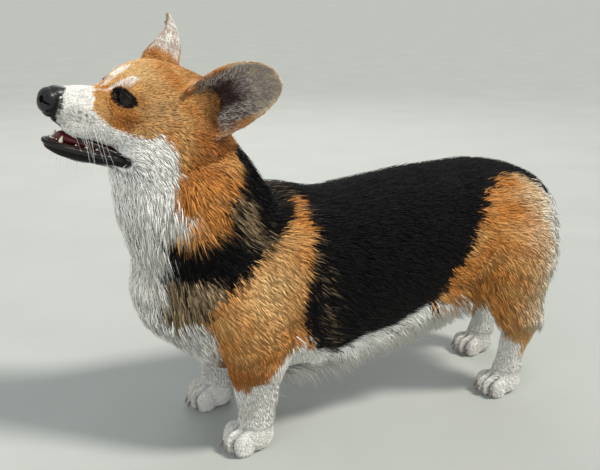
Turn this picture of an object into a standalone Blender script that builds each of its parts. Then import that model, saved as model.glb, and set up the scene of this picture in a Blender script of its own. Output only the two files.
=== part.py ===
"""A Pembroke Welsh Corgi, standing with its head up and its mouth a little open, at life size.

The dog faces -X with its left side towards -Y, and +Z is up. Its paws stand on z = 0.
Trunk, neck and legs are modelled as one form, and the head as another. Thin cuts part them into nodes.
"""

import math
import random

import bmesh
import bpy
import numpy as np
from mathutils import Euler, Matrix, Vector
from mathutils.bvhtree import BVHTree

# Driving sizes, in metres. The rest of the dog is set from these.
GAP = 0.0003
CREASE = math.radians(50)  # edges sharper than this stay crisp
SOLVER = "MANIFOLD"  # EXACT loses most of the neck and thighs when their locks are joined
LEFT, RIGHT = -1, 1
SIDE_NAME = {LEFT: "L", RIGHT: "R"}

# The trunk. Each station is (x, top, bottom, half width): an upright section of the body.
TRUNK = [
    (-0.232, 0.225, 0.122, 0.052),
    (-0.200, 0.258, 0.092, 0.080),
    (-0.155, 0.276, 0.078, 0.094),
    (-0.105, 0.279, 0.072, 0.099),
    (-0.045, 0.268, 0.080, 0.100),
    (0.015, 0.273, 0.094, 0.099),
    (0.080, 0.281, 0.112, 0.094),
    (0.130, 0.284, 0.126, 0.088),
    (0.175, 0.283, 0.138, 0.088),
    (0.212, 0.270, 0.142, 0.082),
    (0.240, 0.242, 0.150, 0.062),
]
WIDEST = 0.52  # how far up a section it is widest

# Stations of the neck: (x, y, z, half width, depth in front of the path, depth behind it).
NECK = [
    (-0.135, 0.0, 0.170, 0.090, 0.102, 0.080),
    (-0.160, 0.0, 0.215, 0.086, 0.098, 0.074),
    (-0.185, 0.0, 0.262, 0.076, 0.086, 0.070),
    (-0.203, 0.0, 0.302, 0.066, 0.078, 0.065),
    (-0.216, 0.0, 0.338, 0.058, 0.067, 0.057),
    (-0.224, 0.0, 0.362, 0.050, 0.050, 0.048),
]

# The head has its own frame: +X towards the nose, +Y to the dog's left, +Z up, origin at the eyes' level.
HEAD_PLACE = (-0.257, 0.001, 0.3766)
HEAD_PITCH, HEAD_YAW, HEAD_ROLL = math.radians(13.8), math.radians(9.4), math.radians(-7.7)

# (x, y, z, half width, height up, height down) along the head, from the back of the skull to the nose
SKULL = [
    (-0.088, 0, 0.000, 0.040, 0.034, 0.046),
    (-0.066, 0, 0.002, 0.052, 0.039, 0.054),
    (-0.040, 0, 0.003, 0.056, 0.042, 0.058),
    (-0.018, 0, 0.001, 0.050, 0.043, 0.054),
    (0.000, 0, -0.004, 0.041, 0.036, 0.048),
    (0.016, 0, -0.010, 0.033, 0.027, 0.040),
    (0.030, 0, -0.013, 0.028, 0.021, 0.032),
]
UPPER_JAW = [
    (-0.010, 0, -0.018, 0.040, 0.034, 0.031),
    (0.018, 0, -0.017, 0.0315, 0.030, 0.0290),
    (0.038, 0, -0.0165, 0.0260, 0.0250, 0.0262),
    (0.055, 0, -0.0150, 0.0218, 0.0215, 0.0225),
    (0.067, 0, -0.0125, 0.0180, 0.0160, 0.0175),
    (0.075, 0, -0.0115, 0.0135, 0.0105, 0.0115),
]
LOWER_JAW = [
    (-0.050, 0, -0.050, 0.040, 0.018, 0.020),
    (-0.018, 0, -0.056, 0.033, 0.010, 0.014),
    (0.015, 0, -0.0575, 0.0260, 0.0080, 0.0090),
    (0.040, 0, -0.0575, 0.0200, 0.0075, 0.0085),
    (0.058, 0, -0.0555, 0.0155, 0.0065, 0.0080),
    (0.070, 0, -0.0530, 0.0100, 0.0045, 0.0058),
]
# The slot between the lips, and the hollow of the mouth behind them
LIP_SLOT = [
    (-0.004, 0, -0.0490, 0.050, 0.0009, 0.0009),
    (0.020, 0, -0.0482, 0.050, 0.0024, 0.0022),
    (0.044, 0, -0.0462, 0.050, 0.0050, 0.0042),
    (0.064, 0, -0.0425, 0.050, 0.0095, 0.0072),
    (0.088, 0, -0.0400, 0.050, 0.0135, 0.0100),
]
MOUTH_HOLLOW = [
    (-0.022, 0, -0.0480, 0.012, 0.0040, 0.0040),
    (0.000, 0, -0.0475, 0.0200, 0.0080, 0.0070),
    (0.025, 0, -0.0460, 0.0185, 0.0100, 0.0080),
    (0.045, 0, -0.0440, 0.0140, 0.0100, 0.0095),
    (0.060, 0, -0.0400, 0.0100, 0.0090, 0.0130),
]
TONGUE = [
    (-0.020, 0, -0.0500, 0.009, 0.0020, 0.0060),
    (0.005, 0, -0.0505, 0.0150, 0.0030, 0.0060),
    (0.030, 0, -0.0505, 0.0145, 0.0028, 0.0060),
    (0.048, 0, -0.0500, 0.0110, 0.0020, 0.0050),
    (0.054, 0, -0.0500, 0.0060, 0.0012, 0.0040),
]
EYE_CENTRE, EYE_RADIUS = (0.0092, 0.0240, 0.0066), 0.0105
EYE_GAZE = (0.84, 0.52, 0.12)
EYE_SLANT = math.radians(14)  # the outer corner lies lower
LID = 0.0018

# Each ear: middle of its root, its tip, and the way its cup faces, in the head's frame with +Y outwards
EARS = {
    LEFT: ((-0.060, 0.046, 0.014), (-0.101, 0.103, 0.069), (0.50, 0.84, -0.20)),
    RIGHT: ((-0.045, 0.040, 0.026), (-0.060, 0.094, 0.083), (0.88, 0.42, -0.10)),
}
# Along an ear: (how far, half width, half of the angle its sheet bends through, thickness)
EAR_PROFILE = [
    (-0.14, 0.021, 118, 0.0060),
    (0.04, 0.025, 104, 0.0060),
    (0.20, 0.0285, 84, 0.0055),
    (0.38, 0.0302, 64, 0.0050),
    (0.56, 0.0292, 48, 0.0045),
    (0.72, 0.0255, 36, 0.0042),
    (0.85, 0.0200, 26, 0.0038),
    (0.94, 0.0138, 19, 0.0034),
    (0.985, 0.0075, 14, 0.0028),
]

# Where each paw stands: the (x, y) of its middle
FORE_PAW = {LEFT: (-0.155, -0.060), RIGHT: (-0.162, 0.052)}
HIND_PAW = {LEFT: (0.179, -0.056), RIGHT: (0.220, 0.058)}
FORE_PAW_SIZE, HIND_PAW_SIZE = (0.056, 0.048, 0.034), (0.055, 0.044, 0.030)
FORE_PAW_TOP, HIND_PAW_TOP = 0.030, 0.028
ON_THE_FLOOR = 0.0006  # what lies lower than this is put on the floor

# Where the head ends: a plane across the neck that rises towards the nape
NECK_PLACE, NECK_TILT = (-0.220, 0, 0.318), math.radians(14)

# The stump of the tail, hidden in the long hair over the rump
TAIL_PLACE, TAIL_RADII, TAIL_TURN = (0.247, 0, 0.236), (0.022, 0.017, 0.016), (0, 0.5, 0)

# Locks: (length, width, thickness) and how far the tip stands off the core
BIB_LOCK, BIB_LIFT = (0.066, 0.037, 0.0105), 0.009
FRINGE_LOCK, FRINGE_LIFT = (0.054, 0.032, 0.0085), 0.004
BREECH_LOCK, BREECH_LIFT = (0.052, 0.030, 0.0090), 0.007
FEATHER_LOCK, FEATHER_LIFT = (0.038, 0.020, 0.0075), 0.005
ROOT_DEPTH = 0.005
COAT_SEED = 11

# How finely each form is melted together, and the triangles that it keeps
HEAD_CELL, HEAD_TRIANGLES = 0.0022, 2250
BODY_CELL, BODY_TRIANGLES = 0.0035, 2500
PAW_CELL, LEG_TRIANGLES, PAW_TRIANGLES = 0.0016, 2600, 350
NOSE_CELL, NOSE_TRIANGLES = 0.0012, 300


def clear_scene():
    for obj in list(bpy.data.objects):
        bpy.data.objects.remove(obj)


def collection(name):
    found = bpy.data.collections.new(name)
    bpy.context.scene.collection.children.link(found)
    return found


def smooth_rows(rows, count):
    """Reads a table of stations as a smooth curve (Catmull-Rom by chord length) and resamples it."""
    rows = np.array(rows, float)
    ends = np.vstack([2 * rows[0] - rows[1], rows, 2 * rows[-1] - rows[-2]])
    steps = np.linalg.norm(np.diff(ends[:, :3], axis=0), axis=1)
    at = np.concatenate([[0], np.cumsum(np.sqrt(np.maximum(steps, 1e-6)))])
    wanted = np.linspace(at[1], at[-2], count)
    found = []
    for t in wanted:
        i = int(np.clip(np.searchsorted(at, t, "right") - 1, 1, len(rows) - 1))
        t0, t1, t2, t3 = at[i - 1 : i + 3]
        p0, p1, p2, p3 = ends[i - 1 : i + 3]
        a1 = (t1 - t) / (t1 - t0) * p0 + (t - t0) / (t1 - t0) * p1
        a2 = (t2 - t) / (t2 - t1) * p1 + (t - t1) / (t2 - t1) * p2
        a3 = (t3 - t) / (t3 - t2) * p2 + (t - t2) / (t3 - t2) * p3
        b1 = (t2 - t) / (t2 - t0) * a1 + (t - t0) / (t2 - t0) * a2
        b2 = (t3 - t) / (t3 - t1) * a2 + (t - t1) / (t3 - t1) * a3
        found.append((t2 - t) / (t2 - t1) * b1 + (t - t1) / (t2 - t1) * b2)
    return np.array(found)


def ring_of(centre, across, over, half_width, up, down, roundness, sides):
    """A closed section: an oval with its own heights above and below its centre."""
    points = []
    for i in range(sides):
        turn = math.tau * i / sides
        c, s = math.cos(turn), math.sin(turn)
        u = math.copysign(abs(c) ** (2 / roundness), c) * half_width
        v = math.copysign(abs(s) ** (2 / roundness), s) * (up if s > 0 else down)
        points.append(Vector(centre) + Vector(across) * u + Vector(over) * v)
    return points


def skin_rings(mesh, rings):
    """Faces between the rings, and a fan to the middle of each end ring."""
    rows = [[mesh.verts.new(p) for p in ring] for ring in rings]
    sides = len(rows[0])
    for a, b in zip(rows, rows[1:]):
        for i in range(sides):
            j = (i + 1) % sides
            mesh.faces.new((a[i], a[j], b[j], b[i]))
    for row, step in ((rows[0], -1), (rows[-1], 1)):
        middle = mesh.verts.new(sum((v.co for v in row), Vector()) / sides)
        for i in range(sides):
            pair = (row[i], row[(i + 1) % sides])
            mesh.faces.new((pair if step > 0 else pair[::-1]) + (middle,))


def finish_mesh(mesh, name):
    bmesh.ops.recalc_face_normals(mesh, faces=mesh.faces[:])
    data = bpy.data.meshes.new(name)
    mesh.to_mesh(data)
    mesh.free()
    obj = bpy.data.objects.new(name, data)
    bpy.context.scene.collection.objects.link(obj)
    return obj


def limb(name, stations, up=(1, 0, 0), sides=20, rings=24, roundness=2.0, place=None, dome=0.6):
    """A body or limb lofted along a path.

    Each station is (x, y, z, half width, height above the path, height below it).
    The section's width lies square to both the path and `up`.
    """
    rows = smooth_rows(stations, rings)
    centres = [Vector(r[:3]) for r in rows]
    mesh = bmesh.new()
    loops = []
    for i, row in enumerate(rows):
        along = (centres[min(i + 1, rings - 1)] - centres[max(i - 1, 0)]).normalized()
        across = along.cross(Vector(up)).normalized()
        over = across.cross(along).normalized()
        loops.append(ring_of(centres[i], across, over, *row[3:6], roundness, sides))
    # Each end closes over a small dome.
    for end, inner in ((0, 1), (-1, -2)) if dome else ():
        middle = sum(loops[end], Vector()) / sides
        outwards = (middle - sum(loops[inner], Vector()) / sides).normalized()
        reach = min((p - middle).length for p in loops[end]) * dome
        caps = [
            [middle + (p - middle) * math.cos(a) + outwards * reach * math.sin(a) for p in loops[end]]
            for a in (0.6, 1.15)
        ]
        loops = caps[::-1] + loops if end == 0 else loops + caps
    skin_rings(mesh, loops)
    if place is not None:
        bmesh.ops.transform(mesh, matrix=place, verts=mesh.verts[:])
    return finish_mesh(mesh, name)


def ball(name, centre, radii, turn=(0, 0, 0), place=None, segments=24):
    """An egg-shaped mass, such as a cheek or a toe."""
    mesh = bmesh.new()
    matrix = Matrix.Translation(centre) @ Euler(turn).to_matrix().to_4x4() @ Matrix.Diagonal((*radii, 1))
    if place is not None:
        matrix = place @ matrix
    bmesh.ops.create_uvsphere(mesh, u_segments=segments, v_segments=segments // 2, radius=1, matrix=matrix)
    return finish_mesh(mesh, name)


def block(name, outline, low, high, axis="Y", place=None):
    """A prism: an outline in the plane square to `axis`, from `low` to `high` along it."""
    mesh = bmesh.new()
    sides = []
    for level in (low, high):
        corners = {"Y": [(u, level, v) for u, v in outline], "Z": [(u, v, level) for u, v in outline]}[axis]
        sides.append([mesh.verts.new(p) for p in corners])
    count = len(outline)
    mesh.faces.new(sides[0])
    mesh.faces.new(sides[1][::-1])
    for i in range(count):
        j = (i + 1) % count
        mesh.faces.new((sides[0][i], sides[1][i], sides[1][j], sides[0][j]))
    if place is not None:
        bmesh.ops.transform(mesh, matrix=place, verts=mesh.verts[:])
    return finish_mesh(mesh, name)


def evaluated_mesh(obj):
    return bpy.data.meshes.new_from_object(obj.evaluated_get(bpy.context.evaluated_depsgraph_get()))


def apply_modifiers(obj):
    data = evaluated_mesh(obj)
    old = obj.data
    obj.modifiers.clear()
    obj.data = data
    bpy.data.meshes.remove(old)


def remove(*objects):
    for obj in objects:
        bpy.data.objects.remove(obj)


def copy_of(obj, name):
    twin = bpy.data.objects.new(name, obj.data.copy())
    bpy.context.scene.collection.objects.link(twin)
    return twin


def joined(name, pieces):
    """One object with all the pieces' meshes in it, still as loose surfaces."""
    mesh = bmesh.new()
    for piece in pieces:
        mesh.from_mesh(piece.data)
    data = bpy.data.meshes.new(name)
    mesh.to_mesh(data)
    mesh.free()
    remove(*pieces)
    obj = bpy.data.objects.new(name, data)
    bpy.context.scene.collection.objects.link(obj)
    return obj


def fused(name, pieces, cell, smoothing, triangles):
    """Melts overlapping pieces into one smooth closed surface of about the given number of triangles."""
    obj = joined(name, pieces)
    remesh = obj.modifiers.new("Remesh", "REMESH")
    remesh.mode = "VOXEL"
    remesh.voxel_size = cell
    smooth = obj.modifiers.new("Smooth", "SMOOTH")
    smooth.factor = 0.5
    smooth.iterations = smoothing
    apply_modifiers(obj)
    keep_largest(obj)
    thin_out(obj, triangles)
    return obj


def thin_out(obj, triangles):
    triangulate(obj)
    decimate = obj.modifiers.new("Decimate", "DECIMATE")
    decimate.ratio = min(1.0, triangles / len(obj.data.polygons))
    apply_modifiers(obj)


def triangulate(obj):
    mesh = bmesh.new()
    mesh.from_mesh(obj.data)
    bmesh.ops.triangulate(mesh, faces=mesh.faces[:])
    mesh.to_mesh(obj.data)
    mesh.free()


def cut(obj, cutter, operation="DIFFERENCE"):
    modifier = obj.modifiers.new("Cut", "BOOLEAN")
    modifier.object = cutter
    modifier.operation = operation
    modifier.solver = SOLVER
    apply_modifiers(obj)
    return obj


def grown(obj, distance=GAP):
    """A copy of a piece that is larger all round by the distance."""
    twin = copy_of(obj, obj.name + "_grown")
    push = twin.modifiers.new("Push", "DISPLACE")
    push.strength = distance
    push.mid_level = 0
    apply_modifiers(twin)
    return twin


def part_off(rest, cutter, name):
    """Takes the part of `rest` inside a convex cutter as its own piece, with a thin gap to what is left."""
    piece = cut(copy_of(rest, name), cutter, "INTERSECT")
    wide = grown(cutter)
    cut(rest, wide)
    remove(wide, cutter)
    keep_largest(piece)
    keep_largest(rest)
    return piece


def clear_of(obj, *others):
    """Cuts an object back to the usual gap from its neighbours."""
    for other in others:
        wide = grown(other)
        cut(obj, wide)
        remove(wide)
    keep_largest(obj)
    return obj


def keep_largest(obj):
    """Drops every loose surface but the one with the largest box."""
    mesh = bmesh.new()
    mesh.from_mesh(obj.data)
    mesh.verts.ensure_lookup_table()
    seen, groups = set(), []
    for start in mesh.verts:
        if start.index in seen:
            continue
        seen.add(start.index)
        group, queue = [], [start]
        while queue:
            vert = queue.pop()
            group.append(vert)
            for edge in vert.link_edges:
                other = edge.other_vert(vert)
                if other.index not in seen:
                    seen.add(other.index)
                    queue.append(other)
        groups.append(group)
    if len(groups) > 1:
        def reach(group):
            points = np.array([v.co for v in group])
            return float(np.prod(np.ptp(points, axis=0) + 1e-6))
        groups.sort(key=reach)
        spare = [v for group in groups[:-1] for v in group]
        bmesh.ops.delete(mesh, geom=spare, context="VERTS")
    mesh.to_mesh(obj.data)
    mesh.free()


def head_matrix():
    """Carries the head's frame into the dog's, where forward is -X."""
    turn = Euler((HEAD_ROLL, -HEAD_PITCH, math.pi + HEAD_YAW)).to_matrix().to_4x4()
    return Matrix.Translation(HEAD_PLACE) @ turn


def fore_leg(side):
    px, py = FORE_PAW[side]
    return limb(
        f"fore_leg_{side}",
        [
            (-0.172, side * 0.052, 0.200, 0.034, 0.040, 0.046),
            (-0.158, side * 0.068, 0.160, 0.036, 0.042, 0.048),
            (-0.148, side * 0.072, 0.122, 0.031, 0.038, 0.040),
            (px + 0.007, side * 0.068, 0.090, 0.0245, 0.0290, 0.0300),
            (px + 0.008, py * 1.03, 0.064, 0.0205, 0.0230, 0.0250),
            (px + 0.010, py, 0.042, 0.0195, 0.0200, 0.0195),
            (px + 0.006, py, 0.018, 0.0200, 0.0190, 0.0190),
        ],
        up=(-1, 0, 0),
    )


def hind_leg(side):
    px, py = HIND_PAW[side]
    return limb(
        f"hind_leg_{side}",
        [
            (0.185, side * 0.040, 0.240, 0.036, 0.055, 0.044),
            (0.178, side * 0.058, 0.198, 0.036, 0.062, 0.064),
            (0.180, side * 0.064, 0.158, 0.033, 0.054, 0.064),
            (0.190, side * 0.064, 0.122, 0.028, 0.040, 0.042),
            (px + 0.023, py * 1.05, 0.088, 0.0200, 0.0250, 0.0230),
            (px + 0.015, py * 1.02, 0.060, 0.0165, 0.0165, 0.0165),
            (px + 0.012, py, 0.038, 0.0165, 0.0160, 0.0160),
            (px + 0.006, py, 0.016, 0.0175, 0.0170, 0.0170),
        ],
        up=(-1, 0, 0),
    )


def paw(name, x, y, length, width, height):
    """The forms of a paw: its pad and four toes, the two middle ones further ahead, and a claw on each."""
    pad = (x + length * 0.08, y, height * 0.46)
    parts = [ball(f"{name}_pad", pad, (length * 0.42, width * 0.44, height * 0.56))]
    for i in range(4):
        across = (i - 1.5) / 1.5
        ahead = 0.31 - 0.12 * abs(across) ** 1.5
        toe = (x - length * ahead, y + across * width * 0.34, height * 0.34)
        turn = (0, 0, -0.22 * across)
        parts.append(ball(f"{name}_toe_{i}", toe, (length * 0.235, width * 0.150, height * 0.45), turn))
        claw = [
            (toe[0] - length * 0.13, toe[1], height * 0.40, 0.0024, 0.0024, 0.0024),
            (toe[0] - length * 0.22, toe[1] + across * 0.0012, height * 0.34, 0.0021, 0.0022, 0.0022),
            (toe[0] - length * 0.29, toe[1] + across * 0.0020, height * 0.16, 0.0012, 0.0012, 0.0012),
        ]
        parts.append(limb(f"{name}_claw_{i}", claw, up=(0, 0, 1), sides=8, rings=6))
    return parts


def ear(side):
    """A cupped sheet: each row across it is an arc, bent further round towards the root."""
    root, tip, facing = (Vector((v[0], v[1] * -side, v[2])) for v in EARS[side])
    along = (tip - root).normalized()
    length = (tip - root).length
    facing = (facing - along * facing.dot(along)).normalized()
    across = along.cross(facing).normalized()
    count = 8
    rings = []
    for t, half, bend, thick in EAR_PROFILE:
        bend = math.radians(bend)
        radius = half / math.sin(min(bend, math.pi / 2))
        middle = root + along * length * t - facing * 0.012 * math.sin(math.pi * min(max(t, 0), 1))
        inner, outer = [], []
        for i in range(count):
            angle = bend * (2 * i / (count - 1) - 1)
            out = across * math.sin(angle) - facing * math.cos(angle)
            taper = 0.55 + 0.45 * math.cos(angle / bend * math.pi / 2)
            hub = middle + facing * radius * math.cos(bend * 0.5)
            inner.append(hub + out * radius)
            outer.append(hub + out * (radius + thick * taper))
        rings.append(inner + outer[::-1])
    mesh = bmesh.new()
    skin_rings(mesh, rings)
    bmesh.ops.transform(mesh, matrix=head_matrix(), verts=mesh.verts[:])
    bmesh.ops.triangulate(mesh, faces=mesh.faces[:])
    return finish_mesh(mesh, f"ear_{SIDE_NAME[side]}")


def trunk():
    rows = []
    for x, top, bottom, half in TRUNK:
        middle = bottom + (top - bottom) * WIDEST
        rows.append((x, 0, middle, half, top - middle, middle - bottom))
    return limb("trunk", rows, up=(0, 0, 1), sides=32, rings=40, roundness=2.25)


def body_forms():
    pieces = [trunk(), limb("neck_form", NECK, up=(-1, 0, 0), sides=32, rings=24, roundness=2.1)]
    for side in (LEFT, RIGHT):
        pieces += [fore_leg(side), hind_leg(side)]
        pieces.append(ball("shoulder", (-0.150, side * 0.058, 0.190), (0.055, 0.040, 0.068), (0, 0.35, 0)))
        pieces.append(ball("breech", (0.212, side * 0.046, 0.180), (0.042, 0.036, 0.066), (0, 0.10, 0)))
    return pieces


def head_forms():
    place = head_matrix()
    pieces = [
        limb("skull", SKULL, up=(0, 0, 1), place=place, sides=28, roundness=2.25),
        limb("upper_jaw", UPPER_JAW, up=(0, 0, 1), place=place, sides=24, roundness=2.3),
        limb("lower_jaw_form", LOWER_JAW, up=(0, 0, 1), place=place, sides=24, roundness=2.2),
        limb("nape", NECK[2:], up=(-1, 0, 0), sides=32, rings=16, roundness=2.1),
    ]
    for side in (-1, 1):
        pieces.append(ball("cheek", (-0.034, side * 0.037, -0.026), (0.036, 0.024, 0.036), place=place))
        pieces.append(ball("brow", (0.004, side * 0.021, 0.020), (0.014, 0.010, 0.007), (0, 0.5, 0), place))
        pieces.append(ball("ear_seat", (-0.058, side * 0.036, 0.018), (0.026, 0.016, 0.024), place=place))
        lip = (0.040, side * 0.0165, -0.028)
        pieces.append(ball("lip", lip, (0.026, 0.0080, 0.0125), (0, 0.20, 0), place))
    return pieces


def eye_frame(side):
    """A frame at the eye: +X along the gaze, +Y along the opening of the lids."""
    gaze = Vector((EYE_GAZE[0], EYE_GAZE[1] * side, EYE_GAZE[2])).normalized()
    level = Vector((0, 0, 1)).cross(gaze).normalized()
    upward = gaze.cross(level)
    along = level * math.cos(EYE_SLANT) - upward * math.sin(EYE_SLANT) * side
    over = gaze.cross(along)
    turn = Matrix((gaze, along, over)).transposed().to_4x4()
    centre = Vector((EYE_CENTRE[0], EYE_CENTRE[1] * side, EYE_CENTRE[2]))
    return head_matrix() @ Matrix.Translation(centre) @ turn


def eyes(head):
    """Eyeballs in their sockets. Each lid is a thin shell over the ball, open along an almond."""
    found = []
    for side in (1, -1):
        place = eye_frame(side)
        lid = ball("lid", (0, 0, 0), (EYE_RADIUS + LID,) * 3, place=place, segments=18)
        cut(head, lid, "UNION")
        middle = (EYE_RADIUS, 0, -0.0004)
        almond = ball("almond", middle, (0.0072, 0.0102, 0.0057), place=place, segments=14)
        socket = ball("socket", (0, 0, 0), (EYE_RADIUS + GAP,) * 3, place=place, segments=16)
        cut(head, almond)
        cut(head, socket)
        remove(lid, almond, socket)
        letter = "L" if side == 1 else "R"
        found.append(ball(f"eye_{letter}", (0, 0, 0), (EYE_RADIUS,) * 3, place=place, segments=16))
    return found


def nose():
    """The nose leather, with a nostril and its side slit on each side."""
    place = head_matrix()
    parts = [
        ball("nose_tip", (0.0765, 0, -0.0100), (0.0105, 0.0128, 0.0105), place=place),
        ball("nose_top", (0.0715, 0, -0.0050), (0.0125, 0.0112, 0.0078), (0, 0.35, 0), place),
        ball("nose_lip", (0.0760, 0, -0.0170), (0.0070, 0.0060, 0.0080), (0, 0.35, 0), place),
    ]
    for side in (-1, 1):
        parts.append(ball("wing", (0.0770, side * 0.0080, -0.0105), (0.0078, 0.0060, 0.0088), place=place))
    leather = fused("nose", parts, NOSE_CELL, 4, NOSE_TRIANGLES)
    for side in (-1, 1):
        opening = (0.0855, side * 0.0062, -0.0110)
        hole = ball("nostril", opening, (0.0050, 0.0030, 0.0032), (0, 0, side * 0.5), place, 8)
        cut(leather, hole)
        beside = (0.0810, side * 0.0122, -0.0130)
        slit = ball("slit", beside, (0.0042, 0.0045, 0.0010), (side * 0.3, 0, 0), place, 8)
        cut(leather, slit)
        remove(hole, slit)
    keep_largest(leather)
    return leather


def teeth():
    """The lower canines and the six incisors between them."""
    place = head_matrix()
    found = []
    for side in (-1, 1):
        canine = [
            (0.0590, side * 0.0088, -0.0560, 0.0030, 0.0036, 0.0036),
            (0.0605, side * 0.0098, -0.0480, 0.0024, 0.0030, 0.0030),
            (0.0600, side * 0.0108, -0.0400, 0.0007, 0.0008, 0.0008),
        ]
        found.append(limb("canine", canine, up=(1, 0, 0), sides=6, rings=4, place=place))
    for i in range(6):
        across = (i - 2.5) / 2.5
        middle = (0.0665 - 0.0030 * across * across, across * 0.0062, -0.0490)
        found.append(ball("incisor", middle, (0.0014, 0.0013, 0.0034), place=place, segments=6))
    return found


def head_nodes():
    """The head in its pieces: skull with upper jaw, lower jaw, tongue, nose and eyes."""
    place = head_matrix()
    form = fused("head", head_forms(), HEAD_CELL, 5, HEAD_TRIANGLES)
    outline = [(-0.6, -0.2), (0.2, -0.2), (0.2, 0.0), (-0.6, 0.0)]
    below = block("below", outline, -0.4, 0.4, place=neck_plane())
    cut(form, below)
    remove(below)
    keep_largest(form)
    leather = nose()
    clear_of(form, leather)
    eyeballs = eyes(form)
    for name, rows in (("slot", LIP_SLOT), ("hollow", MOUTH_HOLLOW)):
        hollow = limb(name, rows, up=(0, 0, 1), sides=12, rings=9, place=place, dome=0.4)
        cut(form, hollow)
        remove(hollow)
    outline = [
        (-0.006, -0.0490),
        (0.044, -0.0462),
        (0.100, -0.0400),
        (0.100, -0.0800),
        (-0.006, -0.0700),
    ]
    jaw_block = block("jaw_block", outline, -0.08, 0.08, place=place)
    jaw = part_off(form, jaw_block, "lower_jaw")
    for tooth in teeth():
        cut(jaw, tooth, "UNION")
        remove(tooth)
    tongue = limb("tongue", TONGUE, up=(0, 0, 1), sides=8, rings=6, place=place)
    clear_of(tongue, jaw, form)
    return [form, jaw, tongue, leather] + eyeballs


def neck_plane():
    """The frame of the plane where the head meets the neck."""
    return Matrix.Translation(NECK_PLACE) @ Euler((0, -NECK_TILT, 0)).to_matrix().to_4x4()


def paw_node(name, leg, middle, size, top):
    """A paw with the foot of its leg, between the floor and `top`."""
    form = fused(name, paw(name, *middle, *size) + [leg], PAW_CELL, 3, LEG_TRIANGLES)
    x, y = middle
    outline = [(x - 0.05, y - 0.04), (x + 0.05, y - 0.04), (x + 0.05, y + 0.04), (x - 0.05, y + 0.04)]
    between = block("between", outline, 0, top, "Z")
    cut(form, between, "INTERSECT")
    remove(between)
    keep_largest(form)
    thin_out(form, PAW_TRIANGLES)
    level_sole(form)
    return form


def paw_nodes():
    found = []
    for side in (LEFT, RIGHT):
        name = f"forepaw_{SIDE_NAME[side]}"
        found.append(paw_node(name, fore_leg(side), FORE_PAW[side], FORE_PAW_SIZE, FORE_PAW_TOP))
    for side in (LEFT, RIGHT):
        name = f"hindpaw_{SIDE_NAME[side]}"
        found.append(paw_node(name, hind_leg(side), HIND_PAW[side], HIND_PAW_SIZE, HIND_PAW_TOP))
    return found


def level_sole(obj):
    """Puts what lies within a hair of the floor exactly on it."""
    for vert in obj.data.vertices:
        if vert.co.z < ON_THE_FLOOR:
            vert.co.z = 0


def body_nodes():
    """The trunk, neck and legs, parted by thin cuts."""
    form = fused("torso", body_forms(), BODY_CELL, 6, BODY_TRIANGLES)
    outline = [(-0.6, 0.0), (0.2, 0.0), (0.2, 0.4), (-0.6, 0.4)]
    above = block("above", outline, -0.4, 0.4, place=neck_plane())
    wide = grown(above)
    cut(form, wide)
    remove(above, wide)
    keep_largest(form)
    found = []
    for side in (LEFT, RIGHT):
        letter = SIDE_NAME[side]
        near, far = sorted((side * 0.012, side * 0.2))
        for middle, top in ((FORE_PAW[side], FORE_PAW_TOP), (HIND_PAW[side], HIND_PAW_TOP)):
            x = middle[0]
            outline = [(x - 0.06, near), (x + 0.06, near), (x + 0.06, far), (x - 0.06, far)]
            foot = block("foot", outline, -0.02, top + GAP, "Z")
            cut(form, foot)
            remove(foot)
            keep_largest(form)
        x = FORE_PAW[side][0]
        outline = [
            (x - 0.05, 0.0),
            (x + 0.06, 0.0),
            (x + 0.060, 0.095),
            (x + 0.040, 0.126),
            (x - 0.030, 0.118),
            (x - 0.050, 0.092),
        ]
        leg = block("leg_block", outline, *sorted((side * 0.036, side * 0.2)))
        found.append(part_off(form, leg, f"foreleg_{letter}"))
        x = HIND_PAW[side][0]
        outline = [(x - 0.05, 0.0), (x + 0.06, 0.0), (x + 0.065, 0.080), (x - 0.030, 0.094)]
        shank = block("shank_block", outline, *sorted((side * 0.020, side * 0.2)))
        found.append(part_off(form, shank, f"hock_{letter}"))
        outline = [
            (0.118, 0.120),
            (0.140, 0.080),
            (0.300, 0.060),
            (0.300, 0.215),
            (0.225, 0.245),
            (0.165, 0.235),
        ]
        thigh = block("thigh_block", outline, *sorted((side * 0.014, side * 0.2)))
        found.append(part_off(form, thigh, f"thigh_{letter}"))
    outline = [(-0.40, 0.060), (-0.205, 0.070), (-0.098, 0.270), (-0.060, 0.40), (-0.40, 0.40)]
    neck_block = block("neck_block", outline, -0.2, 0.2)
    found.append(part_off(form, neck_block, "neck"))
    return [form] + found


def lock(surface, root, normal, lie, sizes, lift, draw, hug=0.75):
    """A flat, tapered lock of hair that leaves the surface at its root and follows it along its lie.

    `hug` says how far it bends round with the surface, from 0, hanging straight, to 1.
    """
    length, width, thick = (size * draw.uniform(0.88, 1.12) for size in sizes)
    across = Vector(lie).cross(normal).normalized()
    sway = across * draw.uniform(-0.10, 0.10) * length
    rings = []
    for t, w, h in ((0.0, 0.75, 1.0), (0.45, 1.0, 0.95), (0.95, 0.20, 0.35)):
        rise = -ROOT_DEPTH + (ROOT_DEPTH + lift) * math.sin(t * math.pi / 2)
        straight = root + lie * length * t + sway * t * t
        below, out, _, _ = surface.find_nearest(straight)
        out = normal.lerp(out, hug).normalized()
        middle = straight.lerp(below, hug) + out * rise
        reach_across, reach_out = across * width * w / 2, out * thick * h / 2
        rings.append([middle + reach_across, middle + reach_out, middle - reach_across, middle - reach_out])
    mesh = bmesh.new()
    skin_rings(mesh, rings)
    return finish_mesh(mesh, "lock")


def along_surface(direction, normal, droop):
    """A direction laid onto the surface, except for the share `droop` of it that hangs free."""
    direction = Vector(direction).normalized()
    flat = direction - normal * direction.dot(normal)
    return (flat.normalized() * (1 - droop) + direction * droop).normalized()


def surface_of(obj):
    mesh = bmesh.new()
    mesh.from_mesh(obj.data)
    tree = BVHTree.FromBMesh(mesh)
    mesh.free()
    return tree


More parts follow.
